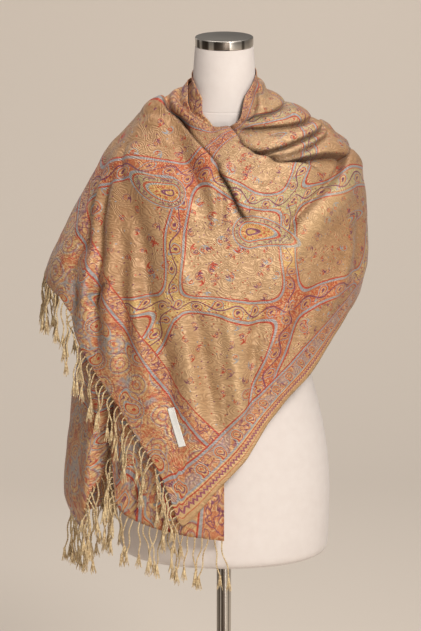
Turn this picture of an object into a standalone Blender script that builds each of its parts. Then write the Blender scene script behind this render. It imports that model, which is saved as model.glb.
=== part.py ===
"""A fringed pashmina shawl thrown round the shoulders of a limbless dress form on a pole and a base.

The shawl is one length of cloth. One end hangs at the left front (the -X side), the cloth goes up
over that shoulder, behind the neck and over the other shoulder, and then crosses the chest and is
thrown back over the first shoulder. The front faces -Y. Azimuth 0 is the front, positive towards
+X, and it runs on past 360 degrees where the cloth passes under itself.
"""

import math

import bmesh
import bpy
import numpy as np

# Cloth, in metres
CLOTH_WALL = 0.0024
SEAM_GAP = 0.0004
LAYER_DROP = 0.0105
FLAP_LIFT = 0.0065
HOLLOW_SHARE = 0.22

# Dress form
POLE_RADIUS = 0.0122
FORM_BOTTOM = 0.640
CAP_TOP = 1.5197
BASE_RADIUS = 0.165
BASE_THICKNESS = 0.012
PIECE_GAP = 0.0003
CAP_RADIUS = 0.0478
CAP_BEVEL = 0.0016
BASE_BEVEL = 0.0015
POLE_SIDES = 20
BASE_SIDES = 40
FORM_SIDES = 28

# Fringe
STRAND_SPACING = 0.0140
STRAND_WIDTH = 0.0030
STRIP_HEIGHT = 0.0040
STRIP_WALL = 0.0030
STRIP_END = 0.0006
STRAND_LENGTH = 0.085
STRAND_SPREAD = 0.010
ROOT_LENGTH = 0.008
ROOT_DROOP = 0.45
ROW_APART = 0.0022
TUFT_LENGTH = 0.022

# Half sizes of the cloth's level sections, for the layer that lies outside.
OUTER_LEVELS = (
    # height, left, right, front, back
    (1.475, 0.0575, 0.0522, 0.056, 0.060),
    (1.457, 0.0600, 0.0541, 0.058, 0.063),
    (1.444, 0.0640, 0.0610, 0.060, 0.068),
    (1.430, 0.0735, 0.0690, 0.062, 0.075),
    (1.415, 0.0960, 0.0880, 0.064, 0.085),
    (1.400, 0.1280, 0.1140, 0.066, 0.096),
    (1.382, 0.1500, 0.1480, 0.070, 0.107),
    (1.360, 0.1710, 0.1790, 0.090, 0.116),
    (1.330, 0.1970, 0.2050, 0.117, 0.126),
    (1.300, 0.2120, 0.2240, 0.134, 0.132),
    (1.260, 0.2330, 0.2330, 0.148, 0.138),
    (1.218, 0.2540, 0.2380, 0.157, 0.142),
    (1.175, 0.2740, 0.2395, 0.162, 0.145),
    (1.143, 0.2890, 0.2385, 0.165, 0.147),
    (1.110, 0.2975, 0.2310, 0.166, 0.149),
    (1.060, 0.2950, 0.2190, 0.166, 0.151),
    (1.000, 0.2850, 0.2080, 0.165, 0.152),
    (0.930, 0.2760, 0.1990, 0.164, 0.153),
    (0.840, 0.2700, 0.1930, 0.163, 0.153),
    (0.700, 0.2660, 0.1900, 0.161, 0.152),
)

# Half widths on the left, of the layer that lies underneath.
UNDER_LEVELS = (
    # height, left
    (1.475, 0.0525),
    (1.457, 0.0555),
    (1.444, 0.0580),
    (1.430, 0.0680),
    (1.415, 0.0900),
    (1.400, 0.1220),
    (1.382, 0.1440),
    (1.360, 0.1650),
    (1.330, 0.1890),
    (1.300, 0.2030),
    (1.260, 0.2190),
    (1.200, 0.2330),
    (1.110, 0.2430),
    (0.980, 0.2540),
    (0.902, 0.2640),
    (0.815, 0.2730),
    (0.745, 0.2790),
    (0.690, 0.2620),
)

# The cloth's two long boundaries as it goes round: its rim at the neck and its lowest line.
RIM = (
    # azimuth, height
    (-150, 1.452),
    (-128, 1.448),
    (-105, 1.446),
    (-90, 1.444),
    (-62, 1.426),
    (-35, 1.409),
    (-17, 1.393),
    (-8, 1.384),
    (0, 1.382),
    (9, 1.391),
    (21, 1.417),
    (36, 1.437),
    (57, 1.450),
    (90, 1.462),
    (130, 1.468),
    (180, 1.470),
    (230, 1.466),
    (270, 1.457),
    (300, 1.446),
    (326, 1.428),
    (344, 1.400),
    (351, 1.387),
    (360, 1.360),
)
LOWEST = (
    # azimuth, height
    (-150, 1.425),
    (-139, 1.330),
    (-128, 1.215),
    (-118, 1.170),
    (-104, 1.134),
    (-90, 1.112),
    (-75, 1.103),
    (-65, 1.096),
    (-59, 1.062),
    (-56, 1.018),
    (-49, 0.976),
    (-40, 0.928),
    (-34, 0.886),
    (-24, 0.823),
    (-19.8, 0.780),
    (-15.8, 0.722),
    (-8.6, 0.755),
    (-1.8, 0.797),
    (10.8, 0.842),
    (22, 0.905),
    (32, 0.944),
    (46, 0.985),
    (58, 1.035),
    (68, 1.069),
    (90, 1.097),
    (112, 1.106),
    (140, 1.092),
    (168, 1.045),
    (192, 0.985),
    (206, 0.925),
    (213, 0.810),
    (218, 0.700),
    (236, 0.692),
    (255, 0.690),
    (270, 0.705),
    (280, 0.708),
    (288, 0.690),
    (300, 0.703),
    (306, 0.770),
    (311, 0.822),
    (315.5, 0.838),
    (317.5, 0.752),
    (324, 0.731),
    (335, 0.717),
    (346, 0.708),
    (360, 0.701),
)

# Azimuths of the corners of the cloth, and of the turn to the front in the under end's cut edge.
THROWN_CORNER = -128
FRONT_CORNER = -15.8
UNDER_CORNER = 218
UNDER_TURN = 288

# Folds. Each is a curve through three places. A lip of 0 makes an even trough or ridge. A positive
# lip makes a roll, high below a curve that runs to the right or above one that runs to the left,
# and dropping over that length at the curve itself.
FOLDS = (
    # layer, azimuth and height at the start, at the middle and at the end, width, depth, lip
    ("outer", -60, 1.416, -12, 1.358, 14, 1.240, 0.050, 0.014, 0.012),
    ("outer", 0, 1.368, -20, 1.397, -70, 1.420, 0.012, 0.006, 0.009),
    ("outer", 98, 1.407, 52, 1.399, 8, 1.393, 0.016, 0.008, 0.010),
    ("outer", 98, 1.384, 50, 1.378, 4, 1.374, 0.018, 0.011, 0.011),
    ("outer", 98, 1.358, 54, 1.357, 16, 1.352, 0.022, 0.011, 0.012),
    ("outer", 98, 1.331, 52, 1.338, 20, 1.337, 0.026, 0.012, 0.013),
    ("outer", 2, 1.380, 18, 1.347, 50, 1.298, 0.034, 0.013, 0.012),
    ("outer", 28, 1.238, 60, 1.284, 92, 1.322, 0.038, 0.014, 0.013),
    ("outer", -66, 1.372, -40, 1.310, -30, 1.230, 0.024, -0.014, 0),
    ("outer", -72, 1.330, -46, 1.210, -34, 1.090, 0.022, 0.012, 0),
    ("outer", -25, 1.290, -19, 1.110, -21, 0.880, 0.026, -0.011, 0),
    ("outer", -36, 1.160, -44, 1.105, -54, 1.070, 0.012, -0.010, 0),
    ("outer", 4, 1.200, 2, 1.060, 6, 0.900, 0.036, 0.007, 0),
    ("outer", 30, 1.190, 34, 1.090, 30, 0.970, 0.030, -0.008, 0),
    ("outer", 62, 1.240, 66, 1.170, 68, 1.090, 0.022, -0.008, 0),
    ("outer", 128, 1.420, 120, 1.320, 112, 1.130, 0.026, -0.013, 0),
    ("outer", 105, 1.372, 150, 1.340, 200, 1.372, 0.018, 0.012, 0.009),
    ("outer", 100, 1.310, 150, 1.258, 205, 1.310, 0.022, -0.012, 0),
    ("outer", 98, 1.240, 150, 1.180, 205, 1.210, 0.026, 0.011, 0),
    ("outer", 140, 1.440, 165, 1.414, 205, 1.430, 0.011, -0.008, 0),
    ("outer", 176, 1.300, 186, 1.180, 190, 1.060, 0.024, -0.010, 0),
    ("outer", -122, 1.420, -114, 1.310, -112, 1.190, 0.022, -0.011, 0),
    ("outer", -104, 1.380, -98, 1.280, -96, 1.150, 0.022, 0.010, 0),
    ("outer", -84, 1.360, -80, 1.280, -76, 1.130, 0.020, -0.009, 0),
    ("under", 218, 1.080, 228, 0.900, 229, 0.700, 0.024, -0.012, 0),
    ("under", 238, 1.100, 246, 0.900, 247, 0.700, 0.022, 0.012, 0),
    ("under", 264, 1.020, 263, 0.880, 262, 0.700, 0.022, -0.011, 0),
    ("under", 302, 0.980, 308, 0.860, 309, 0.740, 0.020, -0.026, 0),
    ("under", 324, 0.920, 328, 0.820, 326, 0.715, 0.022, -0.009, 0),
    ("under", 350, 0.800, 351, 0.750, 350, 0.690, 0.018, 0.003, 0),
)

# The five stretches of the cloth, named for where each one shows.
STRETCHES = (
    # name, azimuth at its start and end, number of columns
    ("shawl_shoulder_flap", -150, -88, 10),
    ("shawl_front_wrap", -88, 66, 32),
    ("shawl_far_shoulder", 66, 128, 12),
    ("shawl_back", 128, 214, 12),
    ("shawl_under_end", 214, 360, 24),
)
ROWS = 22
ROW_CROWDING = 1.35

# The dress form's level sections.
FORM_LEVELS = (
    # height, half width, front, back
    (0.6400, 0.1620, 0.1080, 0.1000),
    (0.6450, 0.1700, 0.1150, 0.1070),
    (0.6560, 0.1745, 0.1190, 0.1110),
    (0.6900, 0.1765, 0.1210, 0.1150),
    (0.7487, 0.1777, 0.1200, 0.1200),
    (0.7925, 0.1759, 0.1180, 0.1210),
    (0.8483, 0.1689, 0.1130, 0.1170),
    (0.9039, 0.1575, 0.1060, 0.1070),
    (0.9600, 0.1430, 0.0980, 0.0940),
    (1.0200, 0.1330, 0.0950, 0.0880),
    (1.0800, 0.1390, 0.1060, 0.0930),
    (1.1400, 0.1500, 0.1230, 0.1000),
    (1.1800, 0.1560, 0.1280, 0.1040),
    (1.2300, 0.1640, 0.1190, 0.1070),
    (1.2800, 0.1700, 0.1020, 0.1040),
    (1.3100, 0.1640, 0.0900, 0.0970),
    (1.3350, 0.1490, 0.0750, 0.0880),
    (1.3550, 0.1260, 0.0620, 0.0780),
    (1.3740, 0.0960, 0.0510, 0.0690),
    (1.3900, 0.0720, 0.0490, 0.0620),
    (1.4100, 0.0570, 0.0485, 0.0570),
    (1.4350, 0.0518, 0.0488, 0.0530),
    (1.4620, 0.0508, 0.0485, 0.0515),
    (1.5040, 0.0480, 0.0470, 0.0490),
)

# Bare white label near the end border: azimuth, height and half sizes.
LABEL_AZIMUTH = -16.8
LABEL_HEIGHT = 0.897
LABEL_HALF_LENGTH = 0.0330
LABEL_HALF_WIDTH = 0.0062
LABEL_TILT = -73.0
LABEL_LIFT = 0.0014
LABEL_WALL = 0.0009

COLOURS = {
    # material: red, green, blue, roughness, metallic
    "cloth": (0.50, 0.31, 0.15, 0.62, 0.0),
    "cloth_under": (0.43, 0.24, 0.13, 0.66, 0.0),
    "fringe": (0.60, 0.45, 0.24, 0.55, 0.0),
    "linen": (0.80, 0.73, 0.66, 0.85, 0.0),
    "steel": (0.55, 0.53, 0.50, 0.30, 1.0),
    "label": (0.88, 0.87, 0.84, 0.70, 0.0),
}


def column(table, number):
    return np.array([row[number] for row in table], float)


def smooth(at, places, values):
    """A smooth curve through a table's values that never overshoots them."""
    order = np.argsort(places)
    x = np.asarray(places, float)[order]
    y = np.asarray(values, float)[order]
    step = np.diff(x)
    slope = np.diff(y) / step
    tangent = np.zeros_like(y)
    tangent[0] = slope[0]
    tangent[-1] = slope[-1]
    same_way = slope[1:] * slope[:-1] > 0
    before = 2 * step[1:] + step[:-1]
    after = step[1:] + 2 * step[:-1]
    with np.errstate(divide="ignore", invalid="ignore"):
        mean = (before + after) / (before / slope[:-1] + after / slope[1:])
    tangent[1:-1] = np.where(same_way, mean, 0.0)
    at = np.clip(at, x[0], x[-1])
    cell = np.clip(np.searchsorted(x, at, side="right") - 1, 0, len(x) - 2)
    share = (at - x[cell]) / step[cell]
    rise = share * share * (3 - 2 * share)
    lean = share * (1 - share) * step[cell]
    bend = lean * ((1 - share) * tangent[cell] - share * tangent[cell + 1])
    return y[cell] + rise * (y[cell + 1] - y[cell]) + bend


def ramp(value, low, high):
    share = np.clip((value - low) / (high - low), 0.0, 1.0)
    return share * share * (3 - 2 * share)


def half_sizes(azimuth, height):
    """Half width and depth of the level section, on the side that the azimuth faces."""
    levels = column(OUTER_LEVELS, 0)
    left, right, front, back = (
        smooth(height, levels, column(OUTER_LEVELS, number)) for number in (1, 2, 3, 4)
    )
    under_left = smooth(height, column(UNDER_LEVELS, 0), column(UNDER_LEVELS, 1))
    left = left + (under_left - left) * ramp(azimuth, 150, 222)
    angle = np.radians(azimuth)
    wide = np.where(np.sin(angle) < 0, left, right)
    deep = np.where(np.cos(angle) > 0, front, back)
    return wide, deep


def hull(azimuth, height):
    """The smooth form that the cloth hangs in, before its folds."""
    wide, deep = half_sizes(azimuth, height)
    angle = np.radians(azimuth)
    return np.stack([wide * np.sin(angle), -deep * np.cos(angle), height + 0 * angle], -1)


def outward(azimuth, height):
    """Unit normals of the hull."""
    turn = 0.5
    drop = 0.002
    along = hull(azimuth + turn, height) - hull(azimuth - turn, height)
    up = hull(azimuth, height + drop) - hull(azimuth, height - drop)
    normal = np.cross(along, up)
    return normal / np.linalg.norm(normal, axis=-1, keepdims=True)


def run_down(height):
    """How far a place lies from the top of the neck, measured down the cloth."""
    levels = np.linspace(1.475, 0.66, 400)
    reach = np.mean(
        [smooth(levels, column(OUTER_LEVELS, 0), column(OUTER_LEVELS, n)) for n in (1, 2, 3, 4)], 0
    )
    steps = np.hypot(np.diff(levels), np.diff(reach))
    run = np.concatenate([[0.0], np.cumsum(steps)])
    return np.interp(-np.asarray(height), -levels, run), levels, run


def fold_line(fold):
    """Places along a fold: azimuth, height."""
    share = np.linspace(0, 1, 25)[:, None]
    start, middle, end = (np.array(fold[n : n + 2], float) for n in (1, 3, 5))
    middle = 2 * middle - 0.5 * (start + end)
    line = (1 - share) ** 2 * start + 2 * share * (1 - share) * middle + share**2 * end
    return line, share[:, 0]


def relief(azimuth, height, layer):
    """How far the folds lift the cloth off its hull."""
    wide, deep = half_sizes(azimuth, height)
    angle = np.radians(azimuth)
    reach = np.hypot(wide * np.cos(angle), deep * np.sin(angle))
    run = run_down(height)[0]
    lift = np.zeros_like(np.asarray(azimuth, float) + height)
    for fold in FOLDS:
        if fold[0] != layer:
            continue
        width, depth, lip = fold[7:]
        line, share = fold_line(fold)
        away = np.radians(azimuth[..., None] - line[:, 0]) * reach[..., None]
        below = run[..., None] - run_down(line[:, 1])[0]
        distance = np.hypot(away, below)
        nearest = np.argmin(distance, -1)
        near = np.take_along_axis(distance, nearest[..., None], -1)[..., 0]
        along = share[nearest]
        fade = ramp(along, -0.001, 0.22) * ramp(1 - along, -0.001, 0.22)
        if not lip:
            lift += depth * fade * np.exp(-((near / width) ** 2))
            continue
        ahead = np.clip(nearest + 1, 1, len(line) - 1)
        step = line[ahead] - line[ahead - 1]
        step_run = run_down(line[ahead, 1])[0] - run_down(line[ahead - 1, 1])[0]
        out = np.take_along_axis(away, nearest[..., None], -1)[..., 0]
        down = np.take_along_axis(below, nearest[..., None], -1)[..., 0]
        side = np.sign(np.radians(step[..., 0]) * reach * down - step_run * out)
        signed = near * side
        high = ramp(signed, -lip, 0.0)
        roll = high * np.exp(-((np.maximum(signed, 0) / width) ** 2))
        hollow = (1 - high) * np.exp(-((np.minimum(signed + lip, 0) / (0.6 * width)) ** 2))
        lift += depth * fade * (roll - HOLLOW_SHARE * hollow)
    return lift


def cloth_points(azimuth, height):
    """Outer and inner points of the cloth's wall."""
    lift = relief(azimuth, height, "outer") * (1 - ramp(azimuth, 205, 235))
    covered = ramp(azimuth, 205, 235)
    lift += covered * np.minimum(relief(azimuth - 360, height, "outer"), 0)
    lift += relief(azimuth, height, "under")
    lift += FLAP_LIFT * ramp(-azimuth, 84, 112)
    lift -= LAYER_DROP * ramp(azimuth, 150, 222) * ramp(1.452 - height, 0.0, 0.03)
    place = hull(azimuth, height)
    normal = outward(azimuth, height)
    outer = place + normal * lift[..., None]
    return outer, outer - normal * CLOTH_WALL


def grid_of(start, end, columns):
    """Azimuth and height of each point of a stretch, from the rim (row 0) to the lowest line."""
    marks = column(LOWEST, 0)
    inside = marks[(marks > start + 1) & (marks < end - 1)]
    even = np.linspace(start, end, columns)
    for mark in inside:
        even[np.argmin(abs(even - mark))] = mark
    azimuth = np.sort(even)
    azimuth[0] = start
    azimuth[-1] = end
    top = smooth(azimuth, column(RIM, 0), column(RIM, 1))
    low = np.interp(azimuth, marks, column(LOWEST, 1))
    share = np.linspace(0, 1, ROWS + 1) ** ROW_CROWDING
    _, levels, run = run_down(0)
    first = np.interp(-top, -levels, run)
    last = np.interp(-low, -levels, run)
    runs = first[:, None] + share * (last - first)[:, None]
    height = np.interp(runs, run, levels)
    return np.repeat(azimuth[:, None], ROWS + 1, 1), height


def finish_material(name):
    if name in bpy.data.materials:
        return bpy.data.materials[name]
    red, green, blue, roughness, metallic = COLOURS[name]
    material = bpy.data.materials.new(name)
    material.use_nodes = True
    shader = material.node_tree.nodes["Principled BSDF"]
    shader.inputs["Base Color"].default_value = (red, green, blue, 1)
    shader.inputs["Roughness"].default_value = roughness
    shader.inputs["Metallic"].default_value = metallic
    return material


def add_object(bm, name, material, sharp=40):
    bmesh.ops.recalc_face_normals(bm, faces=bm.faces)
    mesh = bpy.data.meshes.new(name)
    bm.to_mesh(mesh)
    bm.free()
    mesh.materials.append(finish_material(material))
    mesh.shade_smooth()
    mesh.set_sharp_from_angle(angle=math.radians(sharp))
    thing = bpy.data.objects.new(name, mesh)
    bpy.context.scene.collection.objects.link(thing)
    thing.parent = ROOT
    return thing


def wall_from_grid(bm, outer, inner):
    """A closed wall between two grids of points."""
    columns, rows = outer.shape[:2]
    bmesh.ops.create_grid(bm, x_segments=columns - 1, y_segments=rows - 1, size=1)
    mark = bm.verts.layers.int.new("place")
    bm.verts.ensure_lookup_table()
    for number, vert in enumerate(bm.verts):
        vert[mark] = number
    made = bmesh.ops.extrude_face_region(bm, geom=bm.faces[:], use_keep_orig=True)
    lifted = {item for item in made["geom"] if isinstance(item, bmesh.types.BMVert)}
    for vert in bm.verts:
        row, number = divmod(vert[mark], columns)
        points = outer if vert in lifted else inner
        vert.co = points[number, row]


def cloth_stretch(name, start, end, columns):
    azimuth, height = grid_of(start, end, columns)
    wide, deep = half_sizes(azimuth, height)
    angle = np.radians(azimuth)
    reach = np.hypot(wide * np.cos(angle), deep * np.sin(angle))
    pull = np.degrees(0.5 * SEAM_GAP / reach)
    azimuth[0] += pull[0]
    azimuth[-1] -= pull[-1]
    outer, inner = cloth_points(azimuth, height)
    bm = bmesh.new()
    wall_from_grid(bm, outer, inner)
    add_object(bm, name, "cloth_under" if "under" in name else "cloth", 60)
    return azimuth[:, 0], outer[:, -1], inner[:, -1], outer[:, -1] - outer[:, -2]


def shake(number, seed):
    """A repeatable value between -1 and 1."""
    return 2 * math.modf(abs(math.sin(number * 12.9898 + seed * 78.233)) * 43758.5453)[0] - 1


def along_edge(points, run, at):
    return np.stack([np.interp(at, run, points[:, axis]) for axis in range(3)], -1)


def fringe(name, edge_outer, edge_inner, edge_down, seed, lean):
    """A narrow strip that follows a cut edge, with the strands hanging from it."""
    middle = 0.5 * (edge_outer + edge_inner)
    run = np.concatenate([[0], np.cumsum(np.linalg.norm(np.diff(middle, axis=0), axis=1))])
    count = max(2, int(run[-1] / STRAND_SPACING))
    spacing = run[-1] / count
    stops = []
    for number in range(count):
        centre = (number + 0.5) * spacing
        stops += [centre - STRAND_WIDTH / 2, centre + STRAND_WIDTH / 2]
    clear = 2 * STRIP_END
    bends = [place for place in run[1:-1] if min(abs(place - stop) for stop in stops) > clear]
    held = {round(stop, 7) for stop in stops[::2]}
    places = np.array(sorted([STRIP_END, run[-1] - STRIP_END, *stops, *bends]))
    spot = along_edge(middle, run, places)
    wall = along_edge(edge_outer - edge_inner, run, places)
    wall /= np.linalg.norm(wall, axis=1, keepdims=True)
    tangent = np.gradient(spot, axis=0)
    down = np.cross(tangent, wall)
    down /= np.linalg.norm(down, axis=1, keepdims=True)
    given = along_edge(edge_down, run, places)
    down *= np.sign((down * given).sum(1))[:, None]
    bm = bmesh.new()
    rings = []
    for centre, across, below in zip(spot, wall, down):
        top = centre + below * SEAM_GAP
        ring = []
        for side, depth in ((1, 0), (-1, 0), (-1, 1), (1, 1)):
            place = top + across * side * STRIP_WALL / 2 + below * depth * STRIP_HEIGHT
            ring.append(bm.verts.new(place))
        rings.append(ring)
    bm.faces.new(rings[0])
    bm.faces.new(rings[-1][::-1])
    roots = []
    for number in range(len(rings) - 1):
        one, two = rings[number], rings[number + 1]
        for side in range(4):
            after = (side + 1) % 4
            face = bm.faces.new((one[side], two[side], two[after], one[after]))
            if side == 2 and round(places[number], 7) in held:
                roots.append((face, number))
    bmesh.ops.recalc_face_normals(bm, faces=bm.faces)
    for order, (face, number) in enumerate(roots):
        hang_strand(bm, face, down[number], wall[number], order, seed, lean)
    add_object(bm, name, "fringe", 30)


def hang_strand(bm, face, root_way, across, order, seed, lean):
    """Draw one strand out of the strip: a short root, a twisted cord and a wider tuft."""
    length = STRAND_LENGTH * (1 + 0.10 * shake(order, seed))
    apart = across * ROW_APART * (1 if order % 2 else -1)
    drift = lean * STRAND_SPREAD * shake(order, seed + 1)
    fall = np.array([0.0, 0.0, -1.0])
    root = (1 - ROOT_DROOP) * root_way + ROOT_DROOP * fall
    cord = np.array([drift, 0.0, 0.0]) + fall * (length - ROOT_LENGTH - TUFT_LENGTH)
    steps = (
        # way to go, width at its end
        (root * ROOT_LENGTH + apart, STRAND_WIDTH * 0.9),
        (cord, STRAND_WIDTH * 0.8),
        (fall * TUFT_LENGTH, STRAND_WIDTH * 1.5),
    )
    centre = np.array(face.calc_center_median())
    flat = np.array([across[0], across[1], 0.0])
    flat /= np.linalg.norm(flat)
    side = np.cross(flat, [0, 0, 1.0])
    for way, width in steps:
        made = bmesh.ops.extrude_discrete_faces(bm, faces=[face])
        face = made["faces"][0]
        middle = np.array(face.calc_center_median())
        centre = centre + way
        for vert in face.verts:
            offset = np.array(vert.co) - middle
            first = np.sign(offset @ flat)
            second = np.sign(offset @ side + 1e-9)
            vert.co = centre + (first * flat + second * side) * width / 2


def turned(name, rows, material, sides):
    """A closed form from level sections: height, half width, front and back."""
    bm = bmesh.new()
    rings = []
    for height, wide, front, back in rows:
        ring = bmesh.ops.create_circle(bm, cap_ends=False, segments=sides, radius=1.0)["verts"]
        for vert in ring:
            deep = front if vert.co.y < 0 else back
            vert.co = (vert.co.x * wide, vert.co.y * deep, height)
        rings.append(ring)
    for one, two in zip(rings, rings[1:]):
        for number in range(sides):
            after = (number + 1) % sides
            bm.faces.new((one[number], one[after], two[after], two[number]))
    bm.faces.new(rings[0][::-1])
    bm.faces.new(rings[-1])
    return add_object(bm, name, material, 35)


def drum(name, low, high, radius, bevel, sides):
    """A round piece with a small bevel at its top and bottom."""
    rows = []
    for height, size in (
        (low, radius - bevel),
        (low + bevel, radius),
        (high - bevel, radius),
        (high, radius - bevel),
    ):
        rows.append((height, size, size, size))
    turned(name, rows, "steel", sides)


def dress_form():
    turned("form_body", FORM_LEVELS, "linen", FORM_SIDES)
    seat = FORM_LEVELS[-1][0] + PIECE_GAP
    drum("neck_cap", seat, CAP_TOP, CAP_RADIUS, CAP_BEVEL, FORM_SIDES)
    foot = BASE_THICKNESS + PIECE_GAP
    drum("pole", foot, FORM_BOTTOM - PIECE_GAP, POLE_RADIUS, PIECE_GAP, POLE_SIDES)
    drum("base", 0.0, BASE_THICKNESS, BASE_RADIUS, BASE_BEVEL, BASE_SIDES)


def label(name):
    """A small bare label that lies on the front wrap."""
    length = np.array([-1.0, 0.0, 1.0]) * LABEL_HALF_LENGTH
    across = np.array([-1.0, 1.0]) * LABEL_HALF_WIDTH
    tilt = math.radians(LABEL_TILT)
    middle = math.radians(LABEL_AZIMUTH)
    wide, deep = half_sizes(LABEL_AZIMUTH, np.array(LABEL_HEIGHT))
    reach = np.hypot(wide * math.cos(middle), deep * math.sin(middle))
    sideways = length[:, None] * math.cos(tilt) - across * math.sin(tilt)
    upward = length[:, None] * math.sin(tilt) + across * math.cos(tilt)
    azimuth = LABEL_AZIMUTH + np.degrees(sideways / reach)
    height = LABEL_HEIGHT + upward
    outer, _ = cloth_points(azimuth, height)
    normal = outward(azimuth, height)
    bm = bmesh.new()
    wall_from_grid(bm, outer + normal * (LABEL_LIFT + LABEL_WALL), outer + normal * LABEL_LIFT)
    add_object(bm, name, "label")


def nearest_column(azimuths, wanted):
    return int(np.argmin(abs(azimuths - wanted)))


def shawl():
    edges = {name: cloth_stretch(name, *size) for name, *size in STRETCHES}
    combs = (
        # name, stretch it hangs from, azimuth at its start and end, spread of its strands
        ("fringe_thrown_side", "shawl_shoulder_flap", THROWN_CORNER, -88, 0.3),
        ("fringe_thrown_front", "shawl_front_wrap", -88, FRONT_CORNER, 0.3),
        ("fringe_under_side", "shawl_under_end", UNDER_CORNER, UNDER_TURN, 0.5),
        ("fringe_under_front", "shawl_under_end", UNDER_TURN, 360, 0.5),
    )
    for seed, (name, stretch, start, end, spread) in enumerate(combs):
        azimuths, outer, inner, down = edges[stretch]
        first = nearest_column(azimuths, start)
        last = nearest_column(azimuths, end) + 1
        fringe(name, outer[first:last], inner[first:last], down[first:last], seed, spread)


for old in list(bpy.data.objects):
    bpy.data.objects.remove(old)
ROOT = bpy.data.objects.new("shawl_on_form", None)
bpy.context.scene.collection.objects.link(ROOT)
dress_form()
shawl()
label("label")
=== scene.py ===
# %% [markdown]
# # A fringed pashmina shawl on a dress form
#
# The object is one length of patterned cloth, thrown round the shoulders of a limbless dress form.
# The lesson builds it from the outside in: camera and light, the small tools that the materials
# need, the cloth's shape, the cloth's own coordinates, its pattern, its fringe, and then the form
# itself. Everything is in metres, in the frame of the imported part: +Z is up and the front faces -Y.

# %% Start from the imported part
import math

import bmesh
import bpy
import numpy as np
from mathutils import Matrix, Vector, noise


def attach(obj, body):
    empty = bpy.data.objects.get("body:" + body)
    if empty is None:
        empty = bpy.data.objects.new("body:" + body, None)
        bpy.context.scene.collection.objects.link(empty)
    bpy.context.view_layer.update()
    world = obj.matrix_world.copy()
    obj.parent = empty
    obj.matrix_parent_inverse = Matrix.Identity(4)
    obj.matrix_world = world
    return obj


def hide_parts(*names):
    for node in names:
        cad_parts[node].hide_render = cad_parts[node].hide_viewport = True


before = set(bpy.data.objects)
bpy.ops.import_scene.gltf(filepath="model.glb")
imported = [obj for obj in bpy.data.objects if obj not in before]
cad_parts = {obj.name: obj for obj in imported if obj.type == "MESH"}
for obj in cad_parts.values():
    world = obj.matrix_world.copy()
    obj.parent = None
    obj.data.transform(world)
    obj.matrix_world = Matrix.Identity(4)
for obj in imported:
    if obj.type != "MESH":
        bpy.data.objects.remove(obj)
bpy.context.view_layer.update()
print("packed nodes:", sorted(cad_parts))

# %% [markdown]
# ## Camera
#
# A fashion picture is taken from far away with a long lens, so that the figure isn't distorted. The
# camera stands a little above the shoulders and looks down. The lens follows from the scale that
# the picture should have at the form's axis: 600 pixels to the metre.

# %% Camera
IMAGE_HEIGHT = 631
PIXELS_PER_METRE = 600
CAMERA_AWAY = 7.0
CAMERA_DIP = math.radians(14)
AIM_HEIGHT = 1.048
AIM_ASIDE = -0.0225

camera_data = bpy.data.cameras.new("camera")
camera_data.sensor_width = 36
camera_data.lens = 36 * PIXELS_PER_METRE * CAMERA_AWAY / math.cos(CAMERA_DIP) / IMAGE_HEIGHT
camera_data.clip_end = 100
camera = bpy.data.objects.new("camera", camera_data)
camera.location = (AIM_ASIDE, -CAMERA_AWAY, AIM_HEIGHT + CAMERA_AWAY * math.tan(CAMERA_DIP))
camera.rotation_euler = (math.pi / 2 - CAMERA_DIP, 0, 0)
bpy.context.scene.collection.objects.link(camera)
bpy.context.scene.camera = camera
print("lens", round(camera_data.lens, 1), "mm")

# %% [markdown]
# ## Shader arithmetic
#
# A woven pattern is mostly arithmetic on the cloth's coordinates. Laying out dozens of Math nodes
# by hand hides what they work out, so one small class wraps a socket: `a * b + 1` adds the nodes.
# Its `node` method adds any other node, with its settings first and then its inputs.


# %% Shader arithmetic
def srgb(red, green, blue):
    """A colour given as it looks on a screen, 0 to 255, as the light it stands for."""
    return tuple(
        level / 12.92 if level <= 0.04045 else ((level + 0.055) / 1.055) ** 2.4
        for level in (red / 255, green / 255, blue / 255)
    ) + (1.0,)


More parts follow.
